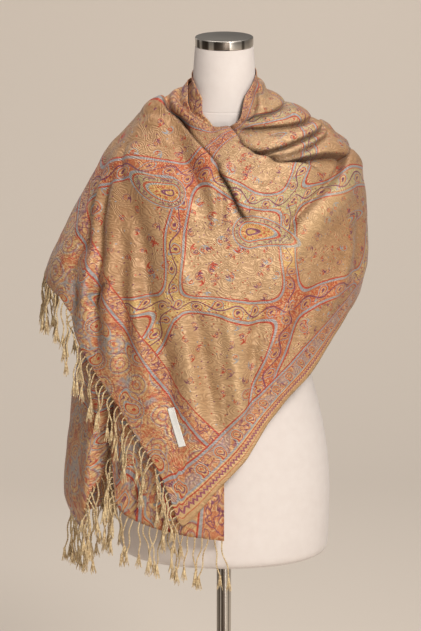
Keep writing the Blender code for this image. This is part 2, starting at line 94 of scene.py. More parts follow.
class Wire:
    """A socket in a material. Arithmetic on it adds Math nodes."""

    def __init__(self, tree, socket=None):
        self.tree = tree
        self.socket = socket

    def node(self, kind, settings=None, inputs=None, output=0):
        made = self.tree.nodes.new(kind)
        for name, value in (settings or {}).items():
            if name == "stops":
                ramp = made.color_ramp
                while len(ramp.elements) < len(value):
                    ramp.elements.new(1.0)
                for element, (place, colour) in zip(ramp.elements, value):
                    element.position = place
                    element.color = colour
            else:
                setattr(made, name, value)
        for name, value in (inputs or {}).items():
            if isinstance(value, Wire):
                self.tree.links.new(value.socket, made.inputs[name])
            else:
                made.inputs[name].default_value = value
        return Wire(self.tree, made.outputs[output])

    def other(self, name):
        """Another output of the same node."""
        return Wire(self.tree, self.socket.node.outputs[name])

    def math(self, operation, *values, clamp=False):
        settings = {"operation": operation, "use_clamp": clamp}
        return self.node("ShaderNodeMath", settings, dict(enumerate([self, *values])))

    def __add__(self, value):
        return self.math("ADD", value)

    def __radd__(self, value):
        return self.math("ADD", value)

    def __mul__(self, value):
        return self.math("MULTIPLY", value)

    def __rmul__(self, value):
        return self.math("MULTIPLY", value)

    def __sub__(self, value):
        return self.math("SUBTRACT", value)

    def __rsub__(self, value):
        return (self * -1.0).math("ADD", value)

    def __truediv__(self, value):
        return self.math("DIVIDE", value)

    def __abs__(self):
        return self.math("ABSOLUTE")

    def ramp(self, low, high):
        """0 at low, 1 at high, smooth in between."""
        settings = {"interpolation_type": "SMOOTHSTEP"}
        return self.node("ShaderNodeMapRange", settings, {0: self, 1: low, 2: high})

    def line(self, centre, half, soft):
        """1 where the value is within half of the centre, and 0 elsewhere."""
        return abs(self - centre).ramp(half + soft, half - soft)

    def below(self, limit, soft=0.0005):
        """1 where the value is below the limit, and 0 above it."""
        return self.ramp(limit + soft, limit - soft)

    def paint(self, mask, colour):
        """This colour, with another one painted over it where the mask is 1."""
        return self.node("ShaderNodeMix", {"data_type": "RGBA"}, {0: mask, 6: self, 7: colour}, 2)

    def blend(self, one, two):
        """The first colour where this is 0, and the second where it is 1."""
        return self.node("ShaderNodeMix", {"data_type": "RGBA"}, {0: self, 6: one, 7: two}, 2)

    def noise(self, scale, detail=0.0, output="Fac", dimensions="3D"):
        """Noise at this place."""
        settings = {"noise_dimensions": dimensions}
        inputs = {"Vector": self, "Scale": scale, "Detail": detail}
        return self.node("ShaderNodeTexNoise", settings, inputs, output)


def socket_name(words):
    return words.replace("_", " ").title().replace("Ior", "IOR")


def new_material(name, **uniform):
    """A material, its Principled shader and a first wire. Uniform values sit on the sockets."""
    material = bpy.data.materials.new(name)
    material.use_nodes = True
    shader = material.node_tree.nodes["Principled BSDF"]
    for words, value in uniform.items():
        shader.inputs[socket_name(words)].default_value = value
    return material, shader, Wire(material.node_tree)


def feed(shader, **wires):
    for words, wire in wires.items():
        wire.tree.links.new(wire.socket, shader.inputs[socket_name(words)])


def bumpy(height, depth):
    """A bumped normal from a height that runs from 0 to 1, depth in metres."""
    inputs = {"Height": height, "Distance": depth, "Strength": 1.0}
    return height.node("ShaderNodeBump", None, inputs)


print("shader arithmetic is ready")

# %% [markdown]
# ## Room and light
#
# The room is a sweep of pale paper: a floor that bends up behind the form, so that no horizon shows
# behind the cloth. The bend ends below the eye's height, so the back can be looked at too. A soft
# lamp high at the front, a little to the right, makes the highlights and the soft shadows in the
# folds. A low one fills these, two light the paper, and an even warm sky keeps the shadows open.

# %% Room and light
SWEEP_HALF = 16.0
SWEEP_BEND = 2.2
SWEEP_START = 2.6
SWEEP_TURN = 0.95

bm = bmesh.new()
bmesh.ops.create_grid(bm, x_segments=2, y_segments=240, size=SWEEP_HALF)
for vert in bm.verts:
    share = (vert.co.y / SWEEP_HALF + 1) / 2
    vert.co.y = share * (SWEEP_HALF + SWEEP_START + SWEEP_BEND * SWEEP_TURN) - SWEEP_HALF
    turn = (vert.co.y - SWEEP_START) / SWEEP_BEND
    if turn > 0:
        vert.co.y = SWEEP_START + SWEEP_BEND * math.sin(turn)
        vert.co.z = SWEEP_BEND * (1 - math.cos(turn))
sweep_mesh = bpy.data.meshes.new("paper_sweep")
bm.to_mesh(sweep_mesh)
bm.free()
sweep_mesh.shade_smooth()
sweep = bpy.data.objects.new("paper_sweep", sweep_mesh)
bpy.context.scene.collection.objects.link(sweep)
paper, paper_shader, wire = new_material("paper", roughness=0.95)
place = wire.node("ShaderNodeTexCoord", output="Object")
paper_tone = place.noise(0.35, 1.0).blend(srgb(206, 194, 181), srgb(213, 202, 190))
feed(paper_shader, base_color=paper_tone)
sweep_mesh.materials.append(paper)

world = bpy.data.worlds.new("room_light")
world.use_nodes = True
sky = world.node_tree.nodes["Background"]
sky.inputs["Color"].default_value = (1.0, 0.96, 0.92, 1)
sky.inputs["Strength"].default_value = 0.16
bpy.context.scene.world = world
bpy.context.scene.view_settings.view_transform = "Standard"


def add_lamp(name, place, aim, size, power, colour):
    data = bpy.data.lights.new(name, "AREA")
    data.size = size
    data.energy = power
    data.color = colour
    lamp = bpy.data.objects.new(name, data)
    lamp.location = place
    lamp.rotation_euler = (Vector(aim) - Vector(place)).to_track_quat("-Z", "Y").to_euler()
    bpy.context.scene.collection.objects.link(lamp)


add_lamp("key_lamp", (1.7, -4.2, 4.4), (0, 0, 1.15), 1.1, 226, (1.0, 0.97, 0.93))
add_lamp("floor_lamp", (-1.6, 1.3, 1.7), (-0.45, 2.0, 0.0), 1.0, 9, (1.0, 0.97, 0.94))
add_lamp("low_lamp", (0.9, -4.6, 1.0), (0, 0, 0.9), 1.6, 68, (1.0, 0.97, 0.94))
add_lamp("sweep_lamp", (0.0, 1.1, 4.3), (0, 3.2, 0.3), 3.0, 108, (1.0, 0.97, 0.94))
print("room and lamps are up")

# %% [markdown]
# ## The drape's sizes
#
# A draped shawl has no sections that a lathe or an extrusion could make. It does have a simple
# path: it hangs in a smooth hull round the shoulders, and it goes round almost once and a half, so
# that it covers itself on the left. The hull is told by level sections, which are those of the
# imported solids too, and the sheet's edges by curves on it. Azimuth 0 is the front, positive towards
# +X, and it runs on past 180 degrees round the back, to 360 where the cloth has passed under
# itself.

# %% Sizes of the drape
OUTER_LEVELS = (
    # height, left, right, front, back
    (1.475, 0.0575, 0.0522, 0.056, 0.060),
    (1.457, 0.0600, 0.0541, 0.058, 0.063),
    (1.444, 0.0640, 0.0610, 0.060, 0.068),
    (1.430, 0.0735, 0.0690, 0.062, 0.075),
    (1.415, 0.0960, 0.0880, 0.064, 0.085),
    (1.400, 0.1280, 0.1140, 0.066, 0.096),
    (1.382, 0.1500, 0.1480, 0.070, 0.107),
    (1.360, 0.1710, 0.1790, 0.090, 0.116),
    (1.330, 0.1970, 0.2050, 0.117, 0.126),
    (1.300, 0.2120, 0.2240, 0.134, 0.132),
    (1.260, 0.2330, 0.2330, 0.148, 0.138),
    (1.218, 0.2540, 0.2380, 0.157, 0.142),
    (1.175, 0.2740, 0.2395, 0.162, 0.145),
    (1.143, 0.2890, 0.2385, 0.165, 0.147),
    (1.110, 0.2975, 0.2310, 0.166, 0.149),
    (1.060, 0.2950, 0.2190, 0.166, 0.151),
    (1.000, 0.2850, 0.2080, 0.165, 0.152),
    (0.930, 0.2760, 0.1990, 0.164, 0.153),
    (0.840, 0.2700, 0.1930, 0.163, 0.153),
    (0.700, 0.2660, 0.1900, 0.161, 0.152),
)
UNDER_LEVELS = (
    # height, left
    (1.475, 0.0525), (1.457, 0.0555), (1.444, 0.0580), (1.430, 0.0680), (1.415, 0.0900),
    (1.400, 0.1220), (1.382, 0.1440), (1.360, 0.1650), (1.330, 0.1890), (1.300, 0.2030),
    (1.260, 0.2190), (1.200, 0.2330), (1.110, 0.2430), (0.980, 0.2540), (0.902, 0.2640),
    (0.815, 0.2730), (0.745, 0.2790), (0.690, 0.2620),
)
RIM = (
    # azimuth, height
    (-150, 1.452), (-128, 1.448), (-105, 1.446), (-90, 1.448), (-62, 1.433), (-35, 1.412),
    (-17, 1.393), (-8, 1.384), (0, 1.382), (9, 1.391), (21, 1.417), (36, 1.437), (57, 1.450),
    (90, 1.462), (130, 1.468), (180, 1.470), (230, 1.466), (270, 1.457), (300, 1.446), (326, 1.428),
    (344, 1.400), (351, 1.387), (360, 1.360),
)
LOWEST = (
    # azimuth, height
    (-150, 1.425), (-139, 1.330), (-128, 1.215), (-118, 1.170), (-104, 1.134), (-90, 1.112),
    (-75, 1.103), (-65, 1.096), (-59, 1.062), (-56, 1.018), (-49, 0.976), (-40, 0.928),
    (-34, 0.886), (-24, 0.823), (-19.8, 0.780), (-15.8, 0.722), (-8.6, 0.755), (-1.8, 0.797),
    (10.8, 0.842), (22, 0.905), (32, 0.944), (46, 0.985), (58, 1.035), (68, 1.069), (90, 1.097),
    (112, 1.106), (140, 1.092), (168, 1.045), (192, 0.985), (206, 0.925), (213, 0.810),
    (218, 0.700), (236, 0.692), (255, 0.690), (270, 0.705), (280, 0.708), (288, 0.690),
    (300, 0.708), (303.5, 0.728), (306.5, 0.765), (308, 0.815), (311, 0.826), (315.5, 0.838),
    (317.5, 0.752), (324, 0.731), (335, 0.717), (346, 0.708), (360, 0.701),
)
SHEET_START = -150
THROWN_CORNER = -128
FRONT_CORNER = -15.8
UNDER_CORNER = 218
UNDER_TURN = 288
SHEET_END = 360
print(len(OUTER_LEVELS), "level sections")

# %% [markdown]
# ## The folds
#
# The creases are what makes the cloth look soft, and a simulation would put them anywhere. So each
# one is placed as a curve through a few places on the hull. A lip of 0 is an even ridge
# or, with a negative depth, a trough. A lip is the width over which a roll of cloth drops to what
# lies below it: the roll is high below a curve that runs to the right, or above one that runs to
# the left.

# %% Folds
OUTER_FOLDS = (
    # width, depth, lip, azimuth and height of the places it passes
    # The pleat at the left of the neck, the rolls of the collar and those over the right shoulder.
    (0.026, 0.0125, 0.004, (
        (-106, 1.411), (-92, 1.412), (-75, 1.410), (-60, 1.406), (-46, 1.399), (-34, 1.389),
        (-26, 1.377), (-19, 1.363), (-13, 1.349), (-8, 1.337), (-4, 1.325), (-1, 1.312))),
    (0.016, 0.0090, 0.004, (
        (10, 1.244), (7, 1.264), (5, 1.282), (3, 1.298), (0, 1.316), (-4, 1.330))),
    (0.010, 0.0050, 0.004, (
        (-150, 1.424), (-100, 1.425), (-65, 1.418), (-38, 1.408), (-25, 1.398), (-16, 1.389),
        (-6, 1.377))),
    (0.012, 0.0040, 0.004, (
        (10, 1.388), (18, 1.394), (26, 1.401), (36, 1.411), (52, 1.427), (74, 1.441),
        (120, 1.448))),
    (0.014, 0.0055, 0.004, (
        (130, 1.418), (104, 1.413), (80, 1.410), (60, 1.408), (42, 1.404), (30, 1.401), (20, 1.396),
        (10, 1.388))),
    (0.015, 0.0072, 0.004, (
        (130, 1.395), (104, 1.391), (79, 1.387), (60, 1.385), (42, 1.384), (30, 1.384), (18, 1.384),
        (4, 1.378))),
    (0.013, 0.0072, 0.004, (
        (90, 1.378), (72, 1.373), (56, 1.367), (42, 1.361), (30, 1.355), (20, 1.352), (12, 1.356),
        (5, 1.364))),
    (0.011, 0.0056, 0.004, (
        (84, 1.370), (70, 1.364), (54, 1.356), (40, 1.348), (28, 1.343), (18, 1.344), (10, 1.350))),
    (0.022, 0.0120, 0.006, (
        (130, 1.334), (104, 1.331), (84, 1.331), (68, 1.335), (52, 1.339), (38, 1.338), (28, 1.335),
        (18, 1.338))),
    (0.022, 0.0100, 0.004, (
        (-2, 1.388), (3, 1.376), (8, 1.360), (13, 1.348), (19, 1.338), (26, 1.331), (36, 1.324),
        (48, 1.312))),
    (0.028, 0.0105, 0.010, (
        (24, 1.210), (34, 1.244), (44, 1.270), (54, 1.290), (68, 1.312), (82, 1.322), (100, 1.325),
        (130, 1.318))),
    (0.010, -0.0025, 0, ((-30, 1.408), (-62, 1.430), (-90, 1.446), (-128, 1.450), (-150, 1.452))),
    (0.011, -0.0090, 0, (
        (5, 1.366), (11, 1.355), (17, 1.350), (24, 1.351), (34, 1.354), (50, 1.360))),
    (0.006, 0.0030, 0, ((96, 1.400), (72, 1.398), (48, 1.396), (20, 1.391))),
    (0.005, -0.0040, 0, ((60, 1.376), (44, 1.373), (30, 1.371), (20, 1.370))),
    (0.005, -0.0035, 0, ((-56, 1.412), (-40, 1.400), (-27, 1.386), (-18, 1.372))),
    # The long folds that fan out from the left shoulder, from the pleat to the thrown end.
    (0.014, -0.0130, 0, (
        (-92, 1.384), (-70, 1.391), (-58, 1.399), (-42, 1.393), (-28, 1.367), (-19, 1.336),
        (-13, 1.306), (-10, 1.280), (-8, 1.252), (-7, 1.226))),
    (0.030, 0.0060, 0, ((-62, 1.352), (-54, 1.344), (-44, 1.324), (-34, 1.288), (-27, 1.240))),
    (0.018, -0.0160, 0, (
        (-62, 1.326), (-50, 1.296), (-42, 1.262), (-34, 1.220), (-29.5, 1.177), (-26.5, 1.135),
        (-24, 1.092), (-22, 1.049), (-20, 1.006), (-19.4, 0.963), (-19.2, 0.920), (-16, 0.868),
        (-12, 0.790))),
    (0.012, -0.0140, 0, (
        (-62, 1.330), (-62, 1.290), (-57, 1.236), (-48, 1.158), (-46.5, 1.084), (-47.5, 1.022),
        (-50, 0.970))),
    (0.014, -0.0110, 0, (
        (-50, 1.276), (-41, 1.208), (-36.5, 1.162), (-34, 1.076), (-35, 1.008), (-36, 0.930))),
    (0.013, -0.0130, 0, (
        (-86, 1.310), (-76, 1.276), (-67, 1.236), (-57.5, 1.170), (-56.5, 1.120), (-59, 1.070),
        (-62, 1.030))),
    (0.011, 0.0050, 0, ((-75, 1.312), (-66, 1.250), (-53, 1.170), (-51, 1.108), (-52, 1.034))),
    (0.011, 0.0050, 0, ((-54, 1.276), (-43, 1.180), (-40, 1.100), (-40, 1.020), (-42, 0.950))),
    (0.014, 0.0050, 0, (
        (-42, 1.276), (-34, 1.190), (-30, 1.116), (-28, 1.042), (-27, 0.950), (-25, 0.870))),
    (0.018, 0.0075, 0, (
        (-18, 1.240), (-15, 1.180), (-12, 1.120), (-11, 1.032), (-10, 0.932), (-9, 0.830))),
    (0.016, -0.0140, 0, (
        (-17, 1.160), (-12, 1.110), (-8.5, 1.050), (-6, 0.975), (-3, 0.915), (2, 0.850))),
    (0.008, -0.0090, 0, ((-36, 1.150), (-43, 1.128), (-48, 1.100), (-56, 1.062))),
    (0.014, 0.0080, 0, ((-2, 1.140), (2, 1.070), (5, 1.000), (7, 0.935), (9, 0.880))),
    (0.010, -0.0070, 0, ((16, 1.160), (15, 1.090), (13, 1.020), (13, 0.950), (14, 0.890))),
    (0.024, 0.0110, 0, (
        (72, 1.300), (60, 1.282), (46, 1.256), (32, 1.212), (22, 1.160), (17, 1.080))),
    (0.012, 0.0050, 0, ((30, 1.130), (25, 1.080), (21, 1.020), (20, 0.960))),
    (0.016, -0.0060, 0, ((46, 1.180), (40, 1.120), (34, 1.060), (30, 1.000))),
    (0.014, 0.0060, 0, ((64, 1.230), (58, 1.170), (52, 1.110), (46, 1.050))),
    (0.020, -0.0080, 0, ((70, 1.250), (70, 1.200), (69, 1.150), (68, 1.085))),
    (0.012, -0.0120, 0, ((-70, 1.212), (-64, 1.180), (-63, 1.150), (-67, 1.112))),
    (0.010, 0.0070, 0, ((-60, 1.196), (-57, 1.160), (-56, 1.124), (-58, 1.090))),
    (0.008, -0.0050, 0, ((-70, 1.362), (-60, 1.336), (-54, 1.306), (-50, 1.280))),
    (0.006, 0.0045, 0, ((-8, 1.310), (-5, 1.284), (-4, 1.256), (-4, 1.222))),
    (0.006, -0.0050, 0, ((-3, 1.306), (-1, 1.282), (-1, 1.256), (-1, 1.220))),
    # The far shoulder, the back and the flap behind the left shoulder.
    (0.024, -0.0130, 0, ((128, 1.420), (124, 1.370), (119, 1.300), (112, 1.130))),
    (0.018, 0.0120, 0.007, ((105, 1.372), (128, 1.352), (150, 1.344), (200, 1.372))),
    (0.022, -0.0120, 0, ((100, 1.310), (126, 1.276), (152, 1.262), (205, 1.310))),
    (0.026, 0.0110, 0, ((98, 1.240), (126, 1.204), (154, 1.184), (205, 1.210))),
    (0.011, -0.0080, 0, ((140, 1.440), (156, 1.424), (175, 1.419), (205, 1.430))),
    (0.024, -0.0100, 0, ((176, 1.300), (183, 1.220), (187, 1.140), (190, 1.060))),
    (0.018, 0.0050, 0, ((150, 1.170), (153, 1.130), (156, 1.090), (160, 1.050))),
    (0.022, -0.0110, 0, ((-122, 1.420), (-116, 1.350), (-114, 1.290), (-112, 1.190))),
    (0.022, 0.0010, 0, ((-104, 1.380), (-99, 1.320), (-97, 1.260), (-96, 1.150))),
    (0.034, -0.0100, 0, (
        (-100, 1.410), (-92, 1.380), (-88, 1.340), (-84, 1.290), (-80, 1.220), (-77, 1.140))),
)
UNDER_FOLDS = (
    # the same, for the end that hangs below the thrown one
    (0.024, -0.0120, 0, ((218, 1.080), (225, 0.980), (228, 0.890), (229, 0.700))),
    (0.022, 0.0120, 0, ((238, 1.100), (243, 0.990), (246, 0.890), (247, 0.700))),
    (0.022, 0.0030, 0, ((264, 1.020), (263, 0.930), (263, 0.860), (262, 0.700))),
    (0.022, 0.0150, 0.005, (
        (302, 0.990), (306, 0.930), (307, 0.860), (306.6, 0.780), (305, 0.700))),
    (0.012, -0.0180, 0, ((306, 1.000), (309, 0.930), (310, 0.860), (310, 0.790), (309, 0.720))),
    (0.022, -0.0090, 0, ((324, 0.920), (327, 0.860), (328, 0.800), (326, 0.715))),
    (0.018, 0.0030, 0, ((350, 0.800), (351, 0.770), (351, 0.740), (350, 0.690))),
)
print(len(OUTER_FOLDS), "folds in the outer layer,", len(UNDER_FOLDS), "in the one under it")

# %% [markdown]
# ## From sizes to a surface
#
# A few small functions carry the shape. `smooth` draws a curve through a table without overshooting
# it, `hull` gives a place on the hull for an azimuth and a height, and `relief` adds up the folds.
# A roll also leans over its lip by a part of its depth, as a fold that lies on another one does.


# %% Curves
def smooth(at, places, values):
    """A smooth curve through a table's values that never overshoots them."""
    order = np.argsort(places)
    x = np.asarray(places, float)[order]
    y = np.asarray(values, float)[order]
    step = np.diff(x)
    slope = np.diff(y) / step
    tangent = np.zeros_like(y)
    tangent[0], tangent[-1] = slope[0], slope[-1]
    before = 2 * step[1:] + step[:-1]
    after = step[1:] + 2 * step[:-1]
    with np.errstate(divide="ignore", invalid="ignore"):
        mean = (before + after) / (before / slope[:-1] + after / slope[1:])
    tangent[1:-1] = np.where(slope[1:] * slope[:-1] > 0, mean, 0.0)
    at = np.clip(at, x[0], x[-1])
    cell = np.clip(np.searchsorted(x, at, side="right") - 1, 0, len(x) - 2)
    share = (at - x[cell]) / step[cell]
    rise = share * share * (3 - 2 * share)
    lean = share * (1 - share) * step[cell]
    bend = lean * ((1 - share) * tangent[cell] - share * tangent[cell + 1])
    return y[cell] + rise * (y[cell + 1] - y[cell]) + bend


def section(table, at):
    """The other columns of a table, at places in its first one."""
    places, *columns = np.array(table, float).T
    return [smooth(at, places, values) for values in columns]


def ramp(value, low, high):
    """0 at low, 1 at high, smooth in between. High may also be the smaller one."""
    share = np.clip((value - low) / (high - low), 0.0, 1.0)
    return share * share * (3 - 2 * share)


def bell(value, width):
    """1 at 0, and next to nothing beyond twice the width."""
    return np.exp(-((value / width) ** 2))


print("sizes at the waist:", [round(float(size), 3) for size in section(OUTER_LEVELS, 1.02)])

# %% The hull
UNDER_FROM, UNDER_FULL = 150, 222


def passing_under(azimuth):
    """0 where the cloth lies on top, and 1 where it has passed under itself."""
    return ramp(azimuth, UNDER_FROM, UNDER_FULL)


def half_sizes(azimuth, height):
    """Half width and depth of the level section, on the side that the azimuth faces."""
    left, right, front, back = section(OUTER_LEVELS, height)
    (under_left,) = section(UNDER_LEVELS, height)
    left = left + (under_left - left) * passing_under(azimuth)
    angle = np.radians(azimuth)
    return np.where(np.sin(angle) < 0, left, right), np.where(np.cos(angle) > 0, front, back)


def hull(azimuth, height):
    """The smooth form that the cloth hangs in, before its folds."""
    wide, deep = half_sizes(azimuth, height)
    angle = np.radians(azimuth)
    return np.stack([wide * np.sin(angle), -deep * np.cos(angle), height + 0 * angle], -1)


def hull_frame(azimuth, height):
    """Unit vectors on the hull: outwards, to the right and down."""
    along = hull(azimuth + 0.5, height) - hull(azimuth - 0.5, height)
    up = hull(azimuth, height + 0.002) - hull(azimuth, height - 0.002)
    along /= np.linalg.norm(along, axis=-1, keepdims=True)
    out = np.cross(along, up)
    out /= np.linalg.norm(out, axis=-1, keepdims=True)
    return out, along, np.cross(along, out)


LEVELS = np.linspace(1.475, 0.66, 400)
MEAN_REACH = np.mean(section(OUTER_LEVELS, LEVELS), 0)
RUN = np.concatenate([[0], np.cumsum(np.hypot(np.diff(LEVELS), np.diff(MEAN_REACH)))])


def run_down(height):
    """How far a place lies from the top of the neck, measured down the cloth."""
    return np.interp(-np.asarray(height), -LEVELS, RUN)


print("cloth runs", round(RUN[-1], 3), "m from neck to hem")

# %% Folds on the hull
# A roll's parts, as shares of its depth: its slope and crest, the hollow and groove at its foot,
# and how far it leans over.
SLOPE_SHARE = 0.65
CREST_SHARE = 0.45
HOLLOW_SHARE = 0.30
GROOVE_SHARE = 0.85
OVERHANG = 0.50
# How wide they are: two as shares of the roll's width, the groove in metres.
CREST_PLACE = 0.5
SOFT_SHARE = 0.6
GROOVE_WIDTH = 0.0042
# The shares of their length over which folds begin and end.
FADE_LIPPED = 0.12
FADE_EVEN = 0.32
FADE_BEFORE = -0.001
# Their shade: how far it reaches on both sides of a lip, the steepness at which it is full, what a
# metre of depth makes of an even fold, and how much of it the sides of the shoulders lose.
CREASE_NEAR = 0.0016
CREASE_FAR = 0.0056
FULL_STEEPNESS = 2.5
VALLEY_SHADE = 16.0
SIDE_LOSS = 0.6
SIDES = (50, 85)


def relief(azimuth, height, folds):
    """How far the folds lift the cloth off its hull, lean to the right and down, and shade it."""
    wide, deep = half_sizes(azimuth, height)
    angle = np.radians(azimuth)
    reach = np.hypot(wide * np.cos(angle), deep * np.sin(angle))
    run = run_down(height)
    lift, aside, down, shade = np.zeros((4, *azimuth.shape))
    for width, depth, lip, places in folds:
        steps = np.arange(len(places))
        share = np.linspace(0, 1, 8 * len(places) + 1)
        line_azimuth, line_height = section(np.column_stack([steps, places]), share * steps[-1])
        line_run = run_down(line_height)
        away = np.radians(azimuth[..., None] - line_azimuth) * reach[..., None]
        below = run[..., None] - line_run
        nearest = np.argmin(away * away + below * below, -1)
        ahead = np.clip(nearest + 1, 1, len(share) - 1)
        way = np.radians(line_azimuth[ahead] - line_azimuth[ahead - 1]) * reach
        way_down = line_run[ahead] - line_run[ahead - 1]
        length = np.hypot(way, way_down) + 1e-9
        out = np.take_along_axis(away, nearest[..., None], -1)[..., 0]
        fall = np.take_along_axis(below, nearest[..., None], -1)[..., 0]
        slide = np.clip((out * way + fall * way_down) / length, -length / 2, length / 2)
        near = np.hypot(out - slide * way / length, fall - slide * way_down / length)
        passed = share[nearest] + slide / length * share[1]
        end = FADE_LIPPED if lip else FADE_EVEN
        fade = ramp(passed, FADE_BEFORE, end) * ramp(1 - passed, FADE_BEFORE, end)
        if not lip:
            bend = depth * fade * bell(near, width)
            lift += bend
            shade -= VALLEY_SHADE * bend
            continue
        signed = near * np.sign(way * fall - way_down * out)
        beyond = np.maximum(signed, 0)
        soft = SOFT_SHARE * width
        high = ramp(signed, -lip, 0.0)
        crest = bell(signed - CREST_PLACE * width, soft)
        roll = high * (SLOPE_SHARE * np.exp(-beyond / width) + CREST_SHARE * crest)
        hollow = (1 - high) * bell(np.minimum(signed + lip, 0), soft)
        groove = bell(signed + lip, GROOVE_WIDTH)
        lift += depth * fade * (roll - HOLLOW_SHARE * hollow - GROOVE_SHARE * groove)
        dark = bell(np.minimum(signed + lip / 2, 0), CREASE_FAR) * bell(beyond, CREASE_NEAR)
        shade += min(depth / lip / FULL_STEEPNESS, 1.0) * fade * dark
        lean = OVERHANG * depth * fade * high * bell(beyond, soft)
        aside += lean * way_down / length
        down -= lean * way / length
    return lift, aside, down, shade * (1 - SIDE_LOSS * ramp(abs(azimuth), *SIDES))


plain = relief(np.array([10.0]), np.array([1.36]), OUTER_FOLDS)[0]
print("the folds lift the chest by", round(float(plain[0]) * 1000, 1), "mm")

# %% The cloth's outer face
LAYER_DROP = 0.0105
DROP_AT_RIM = 0.1
LAYER_GAP = 0.0050
DEEPEST_UNDER = 0.0122
FLAP_LIFT = 0.0065
# Stretches: the azimuth or height where something sets in, and the one where it is full.
BELOW_RIM = (1.445, 1.345)
COVERED = (205, 235)
ROOMY_BELOW = (1.30, 1.24)
NECK_BEHIND, NECK_BEFORE = (225, 262), (340, 320)
NECK_TOP, NECK_FOOT = (1.436, 1.424), (1.30, 1.38)
FLAP_BEHIND, FLAP_BELOW = (-84, -112), (1.425, 1.375)


def cloth_points(azimuth, height, shaded=False):
    """Places on the cloth's outer face and, if asked for, the painted shade of its folds there."""
    covered = ramp(azimuth, *COVERED)
    folded = relief(azimuth, height, OUTER_FOLDS)
    lift, aside, down, shade = (part * (1 - covered) for part in folded)
    # Where the cloth has passed under itself, it lies further in and follows the troughs above it.
    drop_share = DROP_AT_RIM + (1 - DROP_AT_RIM) * ramp(height, *BELOW_RIM)
    trough = relief(azimuth - 360, height, OUTER_FOLDS)[0]
    deepest = DEEPEST_UNDER + LAYER_GAP * ramp(height, *ROOMY_BELOW)
    lift += covered * np.clip(trough, -deepest, 0)
    lift -= LAYER_DROP * passing_under(azimuth) * drop_share
    at_neck = ramp(azimuth, *NECK_BEHIND) * ramp(azimuth, *NECK_BEFORE)
    lift -= LAYER_GAP * at_neck * ramp(height, *NECK_TOP) * ramp(height, *NECK_FOOT)
    under_lift, _, _, under_shade = relief(azimuth, height, UNDER_FOLDS)
    lift += under_lift
    shade += under_shade
    lift += FLAP_LIFT * ramp(azimuth, *FLAP_BEHIND) * ramp(height, *FLAP_BELOW)
    out, right, below = hull_frame(azimuth, height)
    shift = out * lift[..., None] + right * aside[..., None] + below * down[..., None]
    places = hull(azimuth, height) + shift
    return (places, shade) if shaded else places


def edge_height(azimuth):
    """The cloth's lowest line, with its small kinks rounded."""
    marks, heights = np.array(LOWEST).T
    turns = (-1.2, 0.0, 1.2)
    return np.mean([np.interp(azimuth + turn, marks, heights) for turn in turns], 0)


probe = cloth_points(np.array([0.0, 90.0]), np.array([1.2, 1.2]))
print("front and right of the drape:", probe.round(3).tolist())

# %% [markdown]
# ## The sheet
#
# One grid is the whole sheet, from the thrown corner round to the end that hangs underneath. Its
# columns are closer at the front, where the folds are small. `create_grid` makes the faces; each
# point then gets its place. A little slow noise breaks up the areas between the folds, because no
# hanging cloth is quite even.

# %% The sheet's grid
ROWS = 132
UPPER_SHARE = 0.36
UPPER_ROWS = 0.54
ZONES = (
    # azimuth at the start and end, number of columns
    (SHEET_START, -90, 34),
    (-90, 96, 204),
    (96, 214, 46),
    (214, SHEET_END, 70),
)
WRINKLE = 0.0016
WRINKLE_BELOW = (1.46, 1.40)


def row_shares(rows):
    """How far down the cloth each row lies. The upper part, with small rolls, has more of them."""
    return smooth(np.linspace(0, 1, rows + 1), (0, UPPER_ROWS, 1), (0, UPPER_SHARE, 1))


def sheet_grid(zones, rows):
    """Azimuth and height of every grid point, from the rim (row 0) to the lowest line."""
    stops = [np.linspace(start, end, count, endpoint=False) for start, end, count in zones]
    azimuth = np.concatenate([*stops, [zones[-1][1]]])
    top = run_down(section(RIM, azimuth)[0])
    low = run_down(edge_height(azimuth))
    height = np.interp(top[:, None] + row_shares(rows) * (low - top)[:, None], RUN, LEVELS)
    return np.repeat(azimuth[:, None], rows + 1, 1), height


azimuth, height = sheet_grid(ZONES, ROWS)
points, shade = cloth_points(azimuth, height, True)
out, _, _ = hull_frame(azimuth, height)
wrinkle = np.array([
    noise.noise(Vector(place) * 17.0) + 0.5 * noise.noise(Vector(place) * 41.0)
    for place in points.reshape(-1, 3)
]).reshape(azimuth.shape)
points = points + out * (WRINKLE * wrinkle * ramp(height, *WRINKLE_BELOW))[..., None]
print("grid of", azimuth.shape, "points")

# %% [markdown]
# ## The cloth's own coordinates
#
# The pattern was woven flat, so it has to follow the cloth and not the room: its borders run along
# the edges, wherever these go. An unwrap would leave the edges wavy. Instead two smooth fields are
# solved on the hull: one runs from one fringed end to the other, one from selvedge to selvedge.
# Such a pair keeps right angles, so ornaments keep their shapes. The solver is the one for heat in
# a plate: every free point takes the weighted mean of its neighbours.


# %% Two fields on the sheet
SOLVER_STEPS = 900
SMALL_ENOUGH = 1e-14


def settle(places, triangles, known):
    """The smoothest values over a mesh of triangles that keep the known ones."""
    free = np.isnan(known)
    values = np.where(free, np.nanmean(known), known)
    starts, ends, pulls = [], [], []
    for turn in range(3):
        corner, one, two = (triangles[:, (turn + n) % 3] for n in range(3))
        first, second = places[one] - places[corner], places[two] - places[corner]
        area = np.linalg.norm(np.cross(first, second), axis=1)
        starts.append(one)
        ends.append(two)
        pulls.append(0.5 * (first * second).sum(1) / area)
    start, end, pull = (np.concatenate(part) for part in (starts, ends, pulls))
    count = len(values)

    def strain(field):
        flow = pull * (field[start] - field[end])
        return np.bincount(start, flow, count) - np.bincount(end, flow, count)

    residual = -strain(values) * free
    step = residual.copy()
    size = residual @ residual
    for _ in range(SOLVER_STEPS):
        pushed = strain(step) * free
        share = size / (step @ pushed)
        values += share * step
        residual -= share * pushed
        smaller = residual @ residual
        if smaller < SMALL_ENOUGH:
            break
        step = residual + (smaller / size) * step
        size = smaller
    return values, values @ strain(values)


